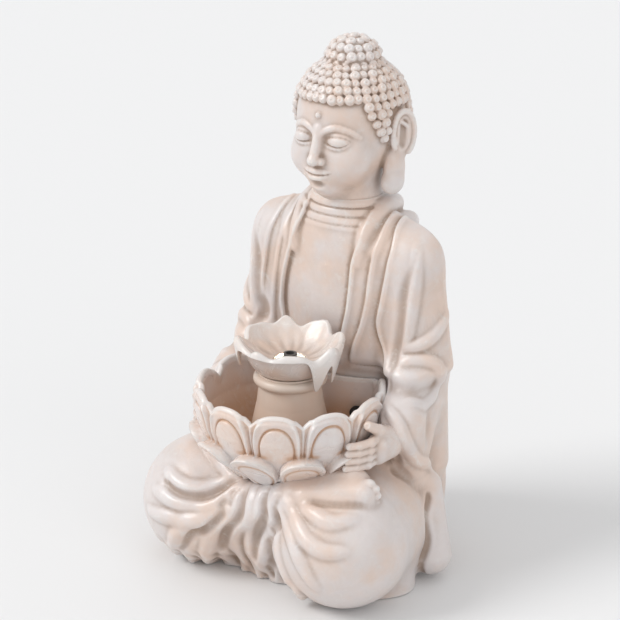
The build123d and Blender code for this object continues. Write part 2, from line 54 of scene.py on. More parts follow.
def ball(centre, radii, turn=0.0):
    """Ellipsoid turned about Z: scaled distance k0 (k0 - 1) / k1 to a unit sphere."""
    c, s = cos(radians(turn)), sin(radians(turn))

    def far(x, y, z):
        x, y, z = x - centre[0], y - centre[1], z - centre[2]
        u, v = c * x + s * y, c * y - s * x
        k0 = np.sqrt((u / radii[0]) ** 2 + (v / radii[1]) ** 2 + (z / radii[2]) ** 2)
        k1 = np.sqrt((u / radii[0] ** 2) ** 2 + (v / radii[1] ** 2) ** 2 + (z / radii[2] ** 2) ** 2)
        return k0 * (k0 - 1) / np.maximum(k1, 1e-6)

    return far, np.array(centre) - max(radii[:2]) * np.array([1, 1, 0]) - [0, 0, radii[2]], \
        np.array(centre) + max(radii[:2]) * np.array([1, 1, 0]) + [0, 0, radii[2]]


def limb(start, end, start_r, end_r, flat=1.0):
    """Tapered round limb: distance to the segment less a radius that runs evenly from end to end."""
    a, b = np.array(start, float), np.array(end, float)
    ab = b - a
    length = float(ab @ ab)
    r = max(start_r, end_r)

    def far(x, y, z):
        x, y, z = x - a[0], y - a[1], z - a[2]
        t = np.clip((x * ab[0] + y * ab[1] + z * ab[2]) / length, 0, 1)
        gap = np.sqrt((x - t * ab[0]) ** 2 + (y - t * ab[1]) ** 2 + ((z - t * ab[2]) / flat) ** 2)
        return gap - (start_r + (end_r - start_r) * t)

    return far, np.minimum(a, b) - r, np.maximum(a, b) + r


def curve_through(points, count):
    """Catmull-Rom curve through the points, read at evenly spaced steps."""
    p = np.array(points, float)
    p = np.vstack([2 * p[0] - p[1], p, 2 * p[-1] - p[-2]])
    t = np.linspace(0, len(points) - 1 - 1e-6, count)
    k = t.astype(int)
    f = (t - k)[:, None]
    a, b, c, d = p[k], p[k + 1], p[k + 2], p[k + 3]
    bend = (2 * a - 5 * b + 4 * c - d) * f * f + (3 * b - a - 3 * c + d) * f ** 3
    return 0.5 * (2 * b + (c - a) * f + bend)


class Clay:
    """Lump of clay: the signed distance in mm to its surface, on an even grid of points."""

    def __init__(self, low, high, step):
        self.low, self.step = np.array(low, float), step
        count = np.ceil((np.array(high, float) - self.low) / step).astype(int) + 1
        self.axes = [(self.low[i] + step * np.arange(count[i])).astype(np.float32) for i in range(3)]
        self.dist = np.full(count, 40.0, np.float32)

    def patch(self, low, high):
        """The grid's slices and open coordinates within a box."""
        cut = []
        for i in range(3):
            first = int(np.floor((low[i] - self.low[i]) / self.step))
            last = int(np.ceil((high[i] - self.low[i]) / self.step)) + 1
            cut.append(slice(max(first, 0), max(min(last, self.dist.shape[i]), 0)))
        x, y, z = [self.axes[i][cut[i]] for i in range(3)]
        return tuple(cut), x[:, None, None], y[None, :, None], z[None, None, :]

    def add(self, tool, soft=6.0):
        """Presses a lump on with a fillet."""
        shape, low, high = tool
        cut, x, y, z = self.patch(low - soft - 6, high + soft + 6)
        if self.dist[cut].size:
            self.dist[cut] = melt(self.dist[cut], shape(x, y, z), soft)

    def cut(self, tool, soft=2.0):
        """Scrapes a tool's shape out with a rounded edge."""
        shape, low, high = tool
        cut, x, y, z = self.patch(low - soft - 2, high + soft + 2)
        if self.dist[cut].size:
            self.dist[cut] = -melt(-self.dist[cut], shape(x, y, z), soft)

    def at(self, points, grid=None):
        """Trilinear value of the field at points."""
        grid = self.dist if grid is None else grid
        g = (np.asarray(points, float) - self.low) / self.step
        g = np.clip(g, 0, np.array(grid.shape) - 1.001)
        k = g.astype(int)
        f = g - k
        total = 0.0
        for i in (0, 1):
            for j in (0, 1):
                for m in (0, 1):
                    share = [f[:, n] if far else 1 - f[:, n] for n, far in enumerate((i, j, m))]
                    here = grid[k[:, 0] + i, k[:, 1] + j, k[:, 2] + m]
                    total = total + share[0] * share[1] * share[2] * here
        return total

    def slope(self, points):
        """Outward direction at points, from differences of the field."""
        h = self.step
        ways = [self.at(points + h * np.eye(3)[i]) - self.at(points - h * np.eye(3)[i]) for i in range(3)]
        n = np.stack(ways, 1)
        return n / np.maximum(np.linalg.norm(n, axis=1, keepdims=True), 1e-6)

    def lay(self, points, count, inset=0.0):
        """Curve through the points, let down on the surface."""
        line = curve_through(points, count)
        for _ in range(5):
            line = line - (self.at(line) + inset)[:, None] * self.slope(line)
        return line

    def fold(self, points, width, height, soft=4.0, taper=True):
        """Raised fold drawn on the surface: a row of round beads that stand out by height."""
        length = np.linalg.norm(np.diff(np.array(points, float), axis=0), axis=1).sum()
        line = self.lay(points, max(6, int(length / 3.5)), width - height)
        size = np.sin(np.linspace(0.12, pi - 0.12, len(line))) ** 0.5 if taper else np.ones(len(line))
        for k in range(len(line) - 1):
            self.add(limb(line[k], line[k + 1], width * size[k], width * size[k + 1]), soft)

    def groove(self, points, width, depth, soft=2.5, taper=True):
        """Line scraped into the surface with a round tool."""
        length = np.linalg.norm(np.diff(np.array(points, float), axis=0), axis=1).sum()
        line = self.lay(points, max(6, int(length / 3.5)), depth - width)
        size = np.sin(np.linspace(0.15, pi - 0.15, len(line))) ** 0.5 if taper else np.ones(len(line))
        for k in range(len(line) - 1):
            self.cut(limb(line[k], line[k + 1], width * size[k], width * size[k + 1]), soft)

    def skin(self):
        """Surface nets: a vertex in each cell that the surface crosses, a face for each crossed edge."""
        d = self.dist
        inside = d < 0
        total = np.zeros(np.array(d.shape) - 1, np.int8)
        for i in (0, 1):
            for j in (0, 1):
                for m in (0, 1):
                    total += inside[i:d.shape[0] - 1 + i, j:d.shape[1] - 1 + j, m:d.shape[2] - 1 + m]
        cells = np.argwhere((total > 0) & (total < 8))
        number = np.full(total.shape, -1, np.int32)
        number[tuple(cells.T)] = np.arange(len(cells))
        place = np.zeros((len(cells), 3))
        hits = np.zeros(len(cells))
        corners = [(i, j, m) for i in (0, 1) for j in (0, 1) for m in (0, 1)]
        for a in corners:
            for axis in range(3):
                if a[axis]:
                    continue
                b = list(a)
                b[axis] = 1
                da = d[tuple((cells + a).T)]
                db = d[tuple((cells + b).T)]
                cross = (da < 0) != (db < 0)
                t = np.where(cross, da / np.where(cross, da - db, 1), 0)
                step = np.array(a, float)[None] + t[:, None] * np.eye(3)[axis]
                place += np.where(cross[:, None], step, 0)
                hits += cross
        place = self.low + self.step * (cells + place / hits[:, None])
        faces = []
        for axis in range(3):
            u, v = (axis + 1) % 3, (axis + 2) % 3
            lo = [slice(None)] * 3
            hi = [slice(None)] * 3
            lo[axis], hi[axis] = slice(0, -1), slice(1, None)
            start, end = inside[tuple(lo)], inside[tuple(hi)]
            edges = np.argwhere(start != end)
            edges = edges[(edges[:, u] > 0) & (edges[:, v] > 0)
                          & (edges[:, u] < d.shape[u] - 1) & (edges[:, v] < d.shape[v] - 1)]
            outward = start[tuple(edges.T)]
            ring = []
            for du, dv in ((-1, -1), (0, -1), (0, 0), (-1, 0)):
                cell = edges.copy()
                cell[:, u] += du
                cell[:, v] += dv
                ring.append(number[tuple(cell.T)])
            quad = np.stack(ring, 1)
            quad[~outward] = quad[~outward][:, ::-1]
            faces.append(quad)
        return place, np.vstack(faces)

    def worn(self, reach):
        """Field averaged over a cube, to tell ridges from hollows."""
        out = self.dist
        for axis in range(3):
            pad = [(0, 0)] * 3
            pad[axis] = (reach + 1, reach)
            run = np.cumsum(np.pad(out, pad, mode="edge"), axis=axis, dtype=np.float64)
            take = [slice(None)] * 3
            take[axis] = slice(2 * reach + 1, None)
            drop = [slice(None)] * 3
            drop[axis] = slice(0, -2 * reach - 1)
            out = ((run[tuple(take)] - run[tuple(drop)]) / (2 * reach + 1)).astype(np.float32)
        return out


def to_mesh(name, points, faces, marks=None, smooth=True):
    """Mesh object from arrays in metres; marks is the relief of each vertex, ridges above 0."""
    mesh = bpy.data.meshes.new(name)
    mesh.vertices.add(len(points))
    mesh.vertices.foreach_set("co", np.asarray(points, np.float32).ravel())
    sides = np.full(len(faces), faces.shape[1])
    loops = faces.ravel()
    mesh.loops.add(len(loops))
    mesh.loops.foreach_set("vertex_index", loops.astype(np.int32))
    mesh.polygons.add(len(sides))
    mesh.polygons.foreach_set("loop_start", np.concatenate([[0], np.cumsum(sides)[:-1]]).astype(np.int32))
    mesh.polygons.foreach_set("loop_total", sides.astype(np.int32))
    mesh.polygons.foreach_set("use_smooth", np.full(len(sides), smooth))
    mesh.update(calc_edges=True)
    mesh.validate()
    if marks is not None:
        layer = mesh.attributes.new("relief", "FLOAT", "POINT")
        layer.data.foreach_set("value", np.asarray(marks, np.float32))
    obj = bpy.data.objects.new(name, mesh)
    bpy.context.scene.collection.objects.link(obj)
    return obj


def thin(points, faces, most):
    """The same surface with its flatter parts in larger triangles, by edge collapse down to a face count."""
    obj = to_mesh("thinning", points, faces)
    count = 2 * len(faces)
    if count > most:
        collapse = obj.modifiers.new("collapse", "DECIMATE")
        collapse.ratio = most / count
    done = obj.evaluated_get(bpy.context.evaluated_depsgraph_get()).to_mesh()
    done.calc_loop_triangles()
    place = np.empty(len(done.vertices) * 3, np.float32)
    done.vertices.foreach_get("co", place)
    tri = np.empty(len(done.loop_triangles) * 3, np.int32)
    done.loop_triangles.foreach_get("vertices", tri)
    mesh = obj.data
    bpy.data.objects.remove(obj)
    bpy.data.meshes.remove(mesh)
    return place.reshape(-1, 3).astype(float), tri.reshape(-1, 3)


def cast(clay, name, most=190000):
    """Piece cast from the clay: its skin, thinned, with the relief of each vertex for the paint."""
    points, faces = clay.skin()
    points, faces = thin(points, faces, most)
    wide = clay.at(points, clay.worn(max(1, round(5.0 / clay.step))))
    fine = clay.at(points, clay.worn(max(1, round(2.0 / clay.step))))
    # relief for the paint: low in the hollows, where the brown wash also paints their shade, and high on the
    # ridges, where the dry brush also paints a highlight
    relief = np.clip(wide / 2.4 + fine, -1.5, 1.5)
    return to_mesh(name, points * MM, faces, relief - 0.25)


CHEST = [
    (-12.0, 62.0, 92.0, 69.5), (60.0, 62.0, 92.0, 70.0), (120.0, 66.0, 86.0, 60.0), (175.0, 66.0, 78.0, 54.0),
    (225.0, 63.0, 80.0, 50.0), (270.0, 56.0, 84.0, 48.0), (303.0, 53.0, 76.0, 44.0),
    (320.0, 51.0, 58.0, 39.0), (334.0, 50.0, 38.0, 35.0), (350.0, 50.0, 34.0, 32.0), (356.0, 50.0, 33.0, 31.0),
]
SKIRT = [
    (-12.0, -20.0, 122.0, 55.0), (30.0, -24.0, 122.0, 60.0), (85.0, -26.0, 104.0, 62.0),
    (128.0, -8.0, 84.0, 50.0),
]


def stacked(rows):
    """Solid through ellipses (z, middle y, half width, half depth), the rows joined by lines that are then
    smoothed.
    """
    rows = np.array(rows)

    def far(x, y, z):
        level = z.ravel()
        t = np.clip(level, rows[0, 0], rows[-1, 0])
        fine = np.linspace(rows[0, 0], rows[-1, 0], 200)
        eased = []
        for i in (1, 2, 3):
            track = np.interp(fine, rows[:, 0], rows[:, i])
            pad = np.pad(track, 14, mode="edge")
            track = np.convolve(pad, np.hanning(29) / np.hanning(29).sum(), "valid")
            eased.append(np.interp(t, fine, track).astype(np.float32)[None, None, :])
        middle, half_x, half_y = eased
        u, v = x / half_x, (y - middle) / half_y
        k0 = np.sqrt(u * u + v * v)
        k1 = np.sqrt((u / half_x) ** 2 + (v / half_y) ** 2)
        side = k0 * (k0 - 1) / np.maximum(k1, 1e-6)
        return np.maximum(side, np.maximum(z - rows[-1, 0], rows[0, 0] - z))

    reach = rows[:, 2:].max() + 10
    return far, np.array([-reach, rows[:, 1].min() - reach, rows[0, 0]]), \
        np.array([reach, rows[:, 1].max() + reach, rows[-1, 0]])


def mirror(points):
    """The same points on the other side of the figure."""
    return [(-p[0],) + tuple(p[1:]) for p in points]


def ease(value, low, high):
    """Smooth step from 0 to 1."""
    t = np.clip((value - low) / (high - low), 0, 1)
    return t * t * (3 - 2 * t)


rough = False
body = Clay((-146, -134, -6), (146, 137, 358), 2.2 if rough else 1.5)
body.add(stacked(CHEST), 1)
body.add(stacked(SKIRT), 10)
for side in (-1, 1):
    body.add(limb((side * 62, 18, 58), (side * 79, -67, 60.5), 57, 61.5), 12)
    body.add(limb((side * 40, 30, 70), (side * 70, -40, 62), 56, 54), 14)
    # shoulders, upper arms and wide sleeves
    body.add(limb((side * 36, 54, 318), (side * 70, 54, 296), 20, 25), 10)
    body.add(limb((side * 71, 53, 294), (side * 82, 49, 196), 26, 27), 10)
    body.add(limb((side * 82, 46, 200), (side * 96, -10, 153), 24, 20), 10)
    body.add(limb((side * 89, 36, 165), (side * 98, 14, 112), 22, 14), 10)
    body.add(limb((side * 80, 60, 180), (side * 86, 56, 100), 22, 22), 14)
# cloth bunched under the basin, and the crossed shins
body.add(ball((0, -48, 58), (72, 50, 52)), 16)
body.add(limb((-50, -90, 66), (40, -88, 100), 22, 20), 14)
body.add(limb((44, -84, 104), (88, -66, 120), 19, 15), 9)
body.add(limb((-30, -80, 96), (-84, -74, 108), 18, 15), 14)

# the sleeves' openings show a rolled cuff over the hand
for side in (-1, 1):
    body.add(ball((side * 96, -3, 160), (20, 16, 26)), 7)
    body.add(limb((side * 95, -2, 160), (side * 105, 10, 104), 21, 11), 9)


def side_of(points, x, z):
    """Distance along X from a line down the chest, given as (x, z) from the top."""
    rows = np.array(points, float)[::-1]
    fine = np.linspace(rows[0, 1], rows[-1, 1], 120)
    track = np.interp(fine, rows[:, 1], rows[:, 0])
    track = np.convolve(np.pad(track, 8, mode="edge"), np.hanning(19)[1:-1] / np.hanning(19).sum(), "valid")
    return x - np.interp(z.ravel(), fine, track).astype(np.float32)[None, None, :]


# the robe lies in layers on the chest: each one stands out from the layer under it
cut, x, y, z = body.patch((-146, -134, 150), (146, 90, 358))
front = ease(62 - y, 0, 14) * ease(348 - z, 0, 10) * ease(z, 186, 204)
LAYERS = (
    (1, 4.0, [(38, 350), (37, 336), (36, 316), (30, 295), (29, 273), (25, 248), (19, 226), (14, 180)]),
    (1, 2.4, [(51, 350), (51, 335), (51, 316), (49, 290), (46, 261), (39, 234), (31, 213), (26, 180)]),
    (1, 2.8, [(60, 350), (62, 330), (67, 314), (65, 292), (60, 262), (55, 241), (57, 226), (68, 205),
              (72, 180)]),
    (-1, 4.0, [(-24, 350), (-27, 332), (-33, 317), (-37, 298), (-44, 277), (-51, 254), (-55, 236),
               (-52, 217), (-44, 180)]),
    (-1, 1.5, [(-45, 350), (-48, 330), (-52, 309), (-57, 279), (-63, 250), (-66, 222), (-60, 180)]),
    (-1, 1.8, [(-58, 350), (-62, 330), (-67, 309), (-72, 279), (-77, 250), (-78, 222), (-74, 180)]),
)
field = body.dist[cut]
for side, rise, line in LAYERS:
    away = side * side_of(line, x, z)
    roll = np.exp(-((away - 2.5) / 2.6) ** 2) * rise * 0.28
    field = field - front * (rise * ease(away, -1.7, 1.7) + roll)
body.dist[cut] = field

# soft rings round the base of the neck
cut, x, y, z = body.patch((-50, -10, 318), (50, 110, 350))
near_neck = ease(48 - np.sqrt(x * x + (y - 50) ** 2), 0, 8) * ease(z, 321, 326) * ease(349.5 - z, 0, 3)
body.dist[cut] -= (1.5 * np.sqrt(np.abs(np.sin(pi * (z - 326.6) / 7.7))) - 0.4) * near_neck

# the robe's rolled collar climbs over the shoulders and round the back of the neck
for side in (-1, 1):
    path = curve_through([(side * 36, 12, 296), (side * 37, 24, 324), (side * 40, 54, 340),
                          (side * 32, 78, 336), (side * 12, 90, 330), (0, 91, 328)], 30)
    grow = 1.2 + 4.8 * ease(np.linspace(0, 1, 30), 0.0, 0.45)
    for k in range(29):
        body.add(limb(path[k], path[k + 1], grow[k], grow[k + 1]), 7)
    outer = curve_through([(side * 50, 20, 306), (side * 55, 40, 322), (side * 54, 64, 325),
                           (side * 42, 86, 318), (side * 16, 97, 312), (0, 98, 310)], 30)
    for k in range(29):
        body.add(limb(outer[k], outer[k + 1], grow[k], grow[k + 1]), 8)

# folds of the sleeves
for points, width, height in (
    ([(84, 36, 312), (87, 29, 280), (86, 26, 247), (86, 22, 222)], 5, 1.6),
    ([(86, 24, 222), (94, 28, 226), (102, 37, 236), (106, 50, 252)], 4, 1.7),
    ([(86, 14, 206), (94, 20, 211), (104, 31, 208), (110, 38, 192), (111, 28, 178), (108, 8, 174),
      (102, -6, 178)], 4.5, 1.4),
    ([(90, -16, 176), (106, -22, 166), (112, -18, 147), (108, 4, 123), (105, 26, 100)], 4, 2.0),
):
    body.fold(points, width, height, 5)
    body.fold(mirror(points), width, height, 5)
for points, width, depth in (
    ([(82, 40, 308), (80, 30, 280), (80, 27, 247), (79, 23, 218), (82, 10, 199), (84, -4, 186)], 5.0, 1.5),
    ([(82, -18, 172), (92, -26, 150), (100, -18, 124), (102, -2, 98)], 4.5, 1.8),
):
    body.groove(points, width, depth, 4)
    body.groove(mirror(points), width, depth, 4)

# the robe's folds fan out under the basin and over the knees
for points, width, height in (
    ([(30, -98, 112), (28, -108, 84), (16, -98, 55), (4, -90, 30), (-1, -84, 6)], 7, 3.4),
    ([(16, -98, 105), (12, -108, 83), (0, -104, 60), (-8, -94, 32), (-12, -84, 6)], 6, 2.6),
    ([(4, -95, 104), (2, -108, 82), (-14, -108, 60), (-24, -98, 34), (-26, -88, 8)], 5.5, 2.4),
    ([(-6, -94, 103), (-12, -111, 82), (-32, -116, 58), (-46, -110, 34), (-52, -98, 10)], 5, 2.2),
    ([(-14, -94, 106), (-22, -110, 90), (-44, -120, 70), (-68, -124, 50), (-82, -116, 26)], 5, 1.8),
    ([(-22, -94, 106), (-37, -101, 97), (-52, -112, 92), (-71, -117, 94), (-91, -112, 101)], 4.5, 1.5),
    ([(-17, -97, 100), (-28, -109, 87), (-48, -119, 79), (-71, -125, 79), (-99, -121, 83)], 4.5, 1.6),
    ([(-12, -100, 96), (-24, -112, 78), (-46, -120, 66), (-81, -128, 62), (-104, -118, 60)], 4.5, 1.5),
    ([(34, -100, 104), (44, -110, 92), (62, -122, 79), (76, -127, 60), (88, -124, 40)], 4.5, 1.5),
    ([(42, -102, 104), (58, -114, 96), (77, -124, 84), (96, -124, 78), (112, -114, 78)], 4, 1.3),
    ([(60, -106, 106), (74, -110, 105), (94, -111, 101), (110, -98, 103)], 4, 1.1),
    ([(-81, -75, 127), (-66, -80, 123), (-50, -86, 117), (-34, -92, 109), (-20, -94, 105)], 4.5, 1.8),
    ([(24, -96, 88), (34, -94, 60), (40, -88, 30), (38, -82, 6)], 6, 2.4),
    ([(30, -104, 84), (46, -106, 58), (58, -104, 30), (58, -94, 8)], 5, 1.8),
):
    body.fold(points, width, height * 0.72, 7)
for points in (
    [(36, -102, 104), (36, -108, 82), (26, -98, 54), (14, -90, 28), (10, -84, 6)],
    [(20, -100, 100), (16, -108, 80), (4, -102, 56), (-4, -92, 28)],
    [(-2, -98, 96), (-8, -110, 76), (-24, -110, 54), (-36, -100, 28)],
    [(-16, -100, 94), (-28, -114, 74), (-52, -120, 54), (-70, -114, 30)],
    [(-18, -98, 102), (-32, -108, 92), (-60, -121, 87), (-88, -118, 92)],
):
    body.groove(points, 2.6, 1.1, 5)

# ruffled hem along the table
cut, x, y, z = body.patch((-146, -134, -6), (100, -30, 50))
wave = np.cos(2 * pi * (x + 0.35 * y - 0.10 * z) / 18.5)
wave = wave + 0.4 * np.cos(2 * pi * (x - 0.2 * y + 0.2 * z) / 11.3 + 1.0)
along_hem = ease(x, -128, -100) * ease(78 - x, 0, 20) * ease(-y - 38, 0, 16)
body.dist[cut] -= (1.9 * wave * ease(40 - z, 0, 36) + 1.6 * ease(12 - z, 0, 12)) * along_hem

# the sole of the foot lies on the other thigh with its toes towards the sleeve
body.add(limb((56, -93, 108), (103, -73, 116), 13, 13.5), 6)
for k in range(5):
    spread = radians(62 - 31 * k)
    toe = (103 + 11.5 * cos(spread), -73 + 4.5 * cos(spread), 116 + 12.0 * sin(spread))
    body.add(ball(toe, (5.6 - 0.4 * k, 5.0 - 0.3 * k, 4.3 - 0.3 * k), 22), 1.4)
body.groove([(70, -96, 98), (88, -90, 98), (106, -80, 99)], 3.0, 0.9, 4)
# the robe's tail spreads beside the knee
body.add(limb((112, 22, 92), (118, 18, 24), 12, 20), 10)
# gap between the robe's tail and the sleeve
body.groove([(116, 14, 86), (124, 0, 68), (121, 5, 38), (118, 10, 12)], 2.2, 2.2, 4)

# plain back: long drops of cloth
for points in (
    [(0, 100, 318), (-6, 112, 240), (4, 124, 150), (-4, 132, 40), (0, 132, 2)],
    [(-34, 92, 312), (-46, 106, 230), (-40, 120, 140), (-52, 120, 30)],
    [(36, 92, 312), (50, 104, 226), (38, 120, 130), (56, 118, 26)],
    [(-58, 84, 300), (-78, 88, 220), (-80, 88, 140), (-86, 88, 40)],
    [(58, 84, 300), (78, 88, 220), (80, 88, 140), (86, 88, 40)],
):
    body.fold(points, 7, 2.0, 9)

# seat for the basin, the open underside and the hole for the cord
cut, x, y, z = body.patch((-100, -140, 100), (100, 52, 200))
from_axis = np.sqrt(x * x + (y + 42) ** 2)
bowl_out = np.interp(z.ravel(), [108, 131, 160, 191], [56, 74, 86, 90])[None, None, :]
behind_belly = ((x / 76) ** 2 + ((y - 64) / 55) ** 2)
seat = np.maximum(np.maximum(from_axis - bowl_out, 107.5 - z), (1 - np.sqrt(behind_belly)) * 50)
seat = np.maximum(seat, z - 196)
body.dist[cut] = np.maximum(body.dist[cut], -seat)
cut, x, y, z = body.patch((-140, -134, -6), (140, 137, 26))
room = np.minimum(
    (np.sqrt((x / 84.5) ** 2 + ((y - 62) / 62) ** 2) - 1) * 60,
    (np.sqrt((x / 112.5) ** 2 + ((y + 20) / 48.5) ** 2) - 1) * 48,
)
body.dist[cut] = np.maximum(body.dist[cut], -np.maximum(room, z - 21))
body.dist[cut] = np.maximum(body.dist[cut], 0.4 - z)
body.cut(limb((0, 100, 22), (0, 145, 22), 7, 7), 0.5)
cut, x, y, z = body.patch((-146, -134, 340), (146, 137, 358))
body.dist[cut] = np.maximum(body.dist[cut], z - 350)
body.cut(limb((39.3, 10.1, 150), (33.5, 25, 150), 5, 5), 0.3)
cut, x, y, z = body.patch((-146, 120, -6), (146, 137, 358))
body.dist[cut] = np.maximum(body.dist[cut], y - 132.2)


class Sock:
    """A node's output socket in a material, with arithmetic that adds Math nodes."""

    def __init__(self, paint, socket):
        self.paint, self.socket = paint, socket

    def math(self, operation, other=None, third=None, clamp=False):
        settings = {"operation": operation, "use_clamp": clamp}
        return self.paint.node("ShaderNodeMath", settings, [self, other, third])

    def __add__(self, other):
        return self.math("ADD", other)

    def __radd__(self, other):
        return self.math("ADD", other)

    def __sub__(self, other):
        return self.math("SUBTRACT", other)

    def __rsub__(self, other):
        return self.paint.node("ShaderNodeMath", {"operation": "SUBTRACT"}, [other, self])

    def __mul__(self, other):
        return self.math("MULTIPLY", other)

    def __rmul__(self, other):
        return self.math("MULTIPLY", other)

    def clamp(self):
        return self.math("ADD", 0.0, None, True)

    def ramp(self, low, high):
        """0 below low and 1 above high, eased between."""
        return self.paint.node(
            "ShaderNodeMapRange", {"interpolation_type": "SMOOTHSTEP"}, [self, low, high, 0.0, 1.0]
        )


class Paint:
    """A material: node() adds a node from its type, its settings and its sockets' values or links."""

    def __init__(self, name):
        self.material = bpy.data.materials.new(name)
        self.material.use_nodes = True
        self.tree = self.material.node_tree
        self.shader = self.tree.nodes["Principled BSDF"]
        self.object = self.node("ShaderNodeTexCoord", {}, [], "Object")

    def node(self, kind, settings, sockets, output=0):
        made = self.tree.nodes.new(kind)
        for key, value in settings.items():
            setattr(made, key, value)
        pairs = sockets.items() if isinstance(sockets, dict) else enumerate(sockets)
        for key, value in pairs:
            if value is None:
                continue
            if isinstance(value, Sock):
                self.tree.links.new(value.socket, made.inputs[key])
            else:
                made.inputs[key].default_value = value
        return Sock(self, made.outputs[output])

    def noise(self, scale, detail=3.0, rough=0.55, place=None, stretch=0.0):
        return self.node(
            "ShaderNodeTexNoise", {},
            {"Vector": place or self.object, "Scale": scale, "Detail": detail, "Roughness": rough,
             "Distortion": stretch},
            "Fac",
        )

    def mix(self, amount, a, b, how="MIX"):
        return self.node(
            "ShaderNodeMix", {"data_type": "RGBA", "blend_type": how}, {0: amount, 6: a, 7: b}, 2
        )

    def bump(self, height, strength, distance, under=None):
        return self.node(
            "ShaderNodeBump", {},
            {"Height": height, "Strength": strength, "Distance": distance, "Normal": under},
            "Normal",
        )

    def set(self, **values):
        for key, value in values.items():
            socket = self.shader.inputs[key.replace("_", " ")]
            if isinstance(value, Sock):
                self.tree.links.new(value.socket, socket)
            else:
                socket.default_value = value
        return self.material


def resin(name, base, shade, chalk_and_highlight, wash_and_shade=1.0, wet=0.0):
    """Cast resin in three coats: cream base, brown wash in the hollows that also paints the shade there, and
    pale dry brush on the ridges that also paints a highlight.
    """
    paint = Paint(name)
    relief = paint.node("ShaderNodeAttribute", {"attribute_name": "relief"}, [], "Fac")
    cloud = paint.noise(14.0, 4.0, 0.6)
    streak = paint.noise(46.0, 6.0, 0.7, stretch=1.2)
    fleck = paint.noise(190.0, 4.0, 0.7, stretch=0.6)
    grain = paint.noise(520.0, 3.0, 0.6)
    # painted shade: the brown wash goes where the relief is low, so it is partly wash and partly the shade
    # that falls in the hollows
    hollow = (relief * -1.0 + (streak - 0.5) * 0.5).ramp(0.0, 0.95)
    # painted highlight: the pale chalk goes where the relief is high, so it is partly dry brush and partly a
    # highlight on the ridges
    ridge = (relief + (streak - 0.5) * 1.1 + (fleck - 0.5) * 0.6).ramp(0.02, 0.72)
    rose = tuple(a * b for a, b in zip(base, (1.03, 0.92, 0.85))) + (1.0,)
    pale = tuple(a * b for a, b in zip(base, (1.0, 1.03, 1.08))) + (1.0,)
    colour = paint.mix(cloud.ramp(0.36, 0.62), rose, pale)
    colour = paint.mix((hollow * wash_and_shade).clamp(), colour, shade + (1.0,))
    colour = paint.mix(ridge * 0.55, colour, chalk_and_highlight + (1.0,))
    brushed = streak.ramp(0.48, 0.70) * fleck.ramp(0.30, 0.66) * 0.42
    colour = paint.mix(brushed, colour, chalk_and_highlight + (1.0,))
    gloss = 0.34 - wet + (streak - 0.5) * 0.22 + hollow * 0.18
    normal = paint.bump(grain * 0.35 + streak * 0.65 + fleck * 0.5, 0.35, 0.0009)
    return paint.set(Base_Color=colour, Roughness=gloss, Normal=normal, Specular_IOR_Level=0.5,
                     Subsurface_Weight=0.06, Subsurface_Radius=(0.006, 0.004, 0.003), Subsurface_Scale=1.0,
                     Coat_Weight=0.30, Coat_Roughness=0.26)


CREAM = (0.70, 0.625, 0.58)
# the wash colour: a brown wash that also paints the shade in the hollows
WASH_AND_SHADE = (0.30, 0.20, 0.14)
# the chalk colour: a pale dry brush that also paints a highlight on the ridges, and the pale streaks
CHALK_AND_HIGHLIGHT = (0.78, 0.76, 0.74)
figure_resin = resin("figure_resin", CREAM, WASH_AND_SHADE, CHALK_AND_HIGHLIGHT, 0.85)

body_piece = cast(body, "robed_figure", 60000 if rough else 192000)
body_piece.data.materials.append(figure_resin)
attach(body_piece, "fountain")
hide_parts("figure_body")

# ---------------------------------------------------------------- head
# A second hollow casting, glued on at the neck and painted with the body. Snail-shell curls cover the
# scalp and the topknot in staggered rows, and the ears have long lobes that reach the collar.
FACE_Z = 409.0
head = Clay((-68, -14, 336), (68, 114, 502), 1.5 if rough else 0.85)
head.add(ball((0, 54, 424), (48.5, 53, 51)), 1)
head.add(ball((0, 41, 394), (40, 41, 42)), 14)
head.add(limb((0, 51, 338), (0, 50, 372), 33, 31.5), 8)
head.add(ball((0, 13, 365), (14, 11.5, 10)), 12)
head.add(ball((0, 9, 378), (16, 12, 11)), 9)
for side in (-1, 1):
    head.add(ball((side * 22, 17, 389), (16, 15, 18)), 12)
    head.cut(ball((side * 18, -5, FACE_Z), (13.5, 7.5, 7.5)), 7)
    head.add(ball((side * 18, 9.5, FACE_Z - 0.5), (11.2, 10.5, 9.2)), 2.5)
head.add(limb((0, 1.5, 418), (0, -6.5, 391), 3.0, 4.8), 5)
head.add(ball((0, -7.2, 390.5), (5.0, 4.8, 4.2)), 3)
for side in (-1, 1):
    head.add(ball((side * 5.6, -2.4, 389.4), (3.3, 4.0, 3.3)), 2.5)
    brow = [(4, -1, 413.5), (11, -2, 419.0), (20, 1, 421.5), (30, 8, 418.0), (36, 16, 412.5)]
    head.fold([(side * p[0], p[1], p[2]) for p in brow], 1.7, 0.7, 3.0)
    lid = [(7.5, 0, 406.8), (12, -1, 404.6), (18, 0, 403.6), (24, 3, 404.8), (29, 8, 408.0)]
    head.groove([(side * p[0], p[1], p[2]) for p in lid], 0.9, 0.9, 0.8)
    upper = [(8.5, 0, 410.4), (13, -1, 413.4), (19, 0, 414.2), (25, 4, 412.8), (29.5, 9, 409.4)]
    head.groove([(side * p[0], p[1], p[2]) for p in upper], 0.9, 0.5, 1.6)
    rim = [(8, 0, 405.4), (12, -1, 402.8), (18, 0, 401.8), (24, 3, 403.0), (29, 8, 406.6)]
    head.fold([(side * p[0], p[1], p[2]) for p in rim], 1.0, 0.45, 1.4)
head.fold([(-12, 3, 380.2), (-8, -1, 379.6), (-3, -4, 380.0), (0, -4, 379.4), (3, -4, 380.0),
           (8, -1, 379.6), (12, 3, 380.2)],
          2.6, 1.5, 2.0)
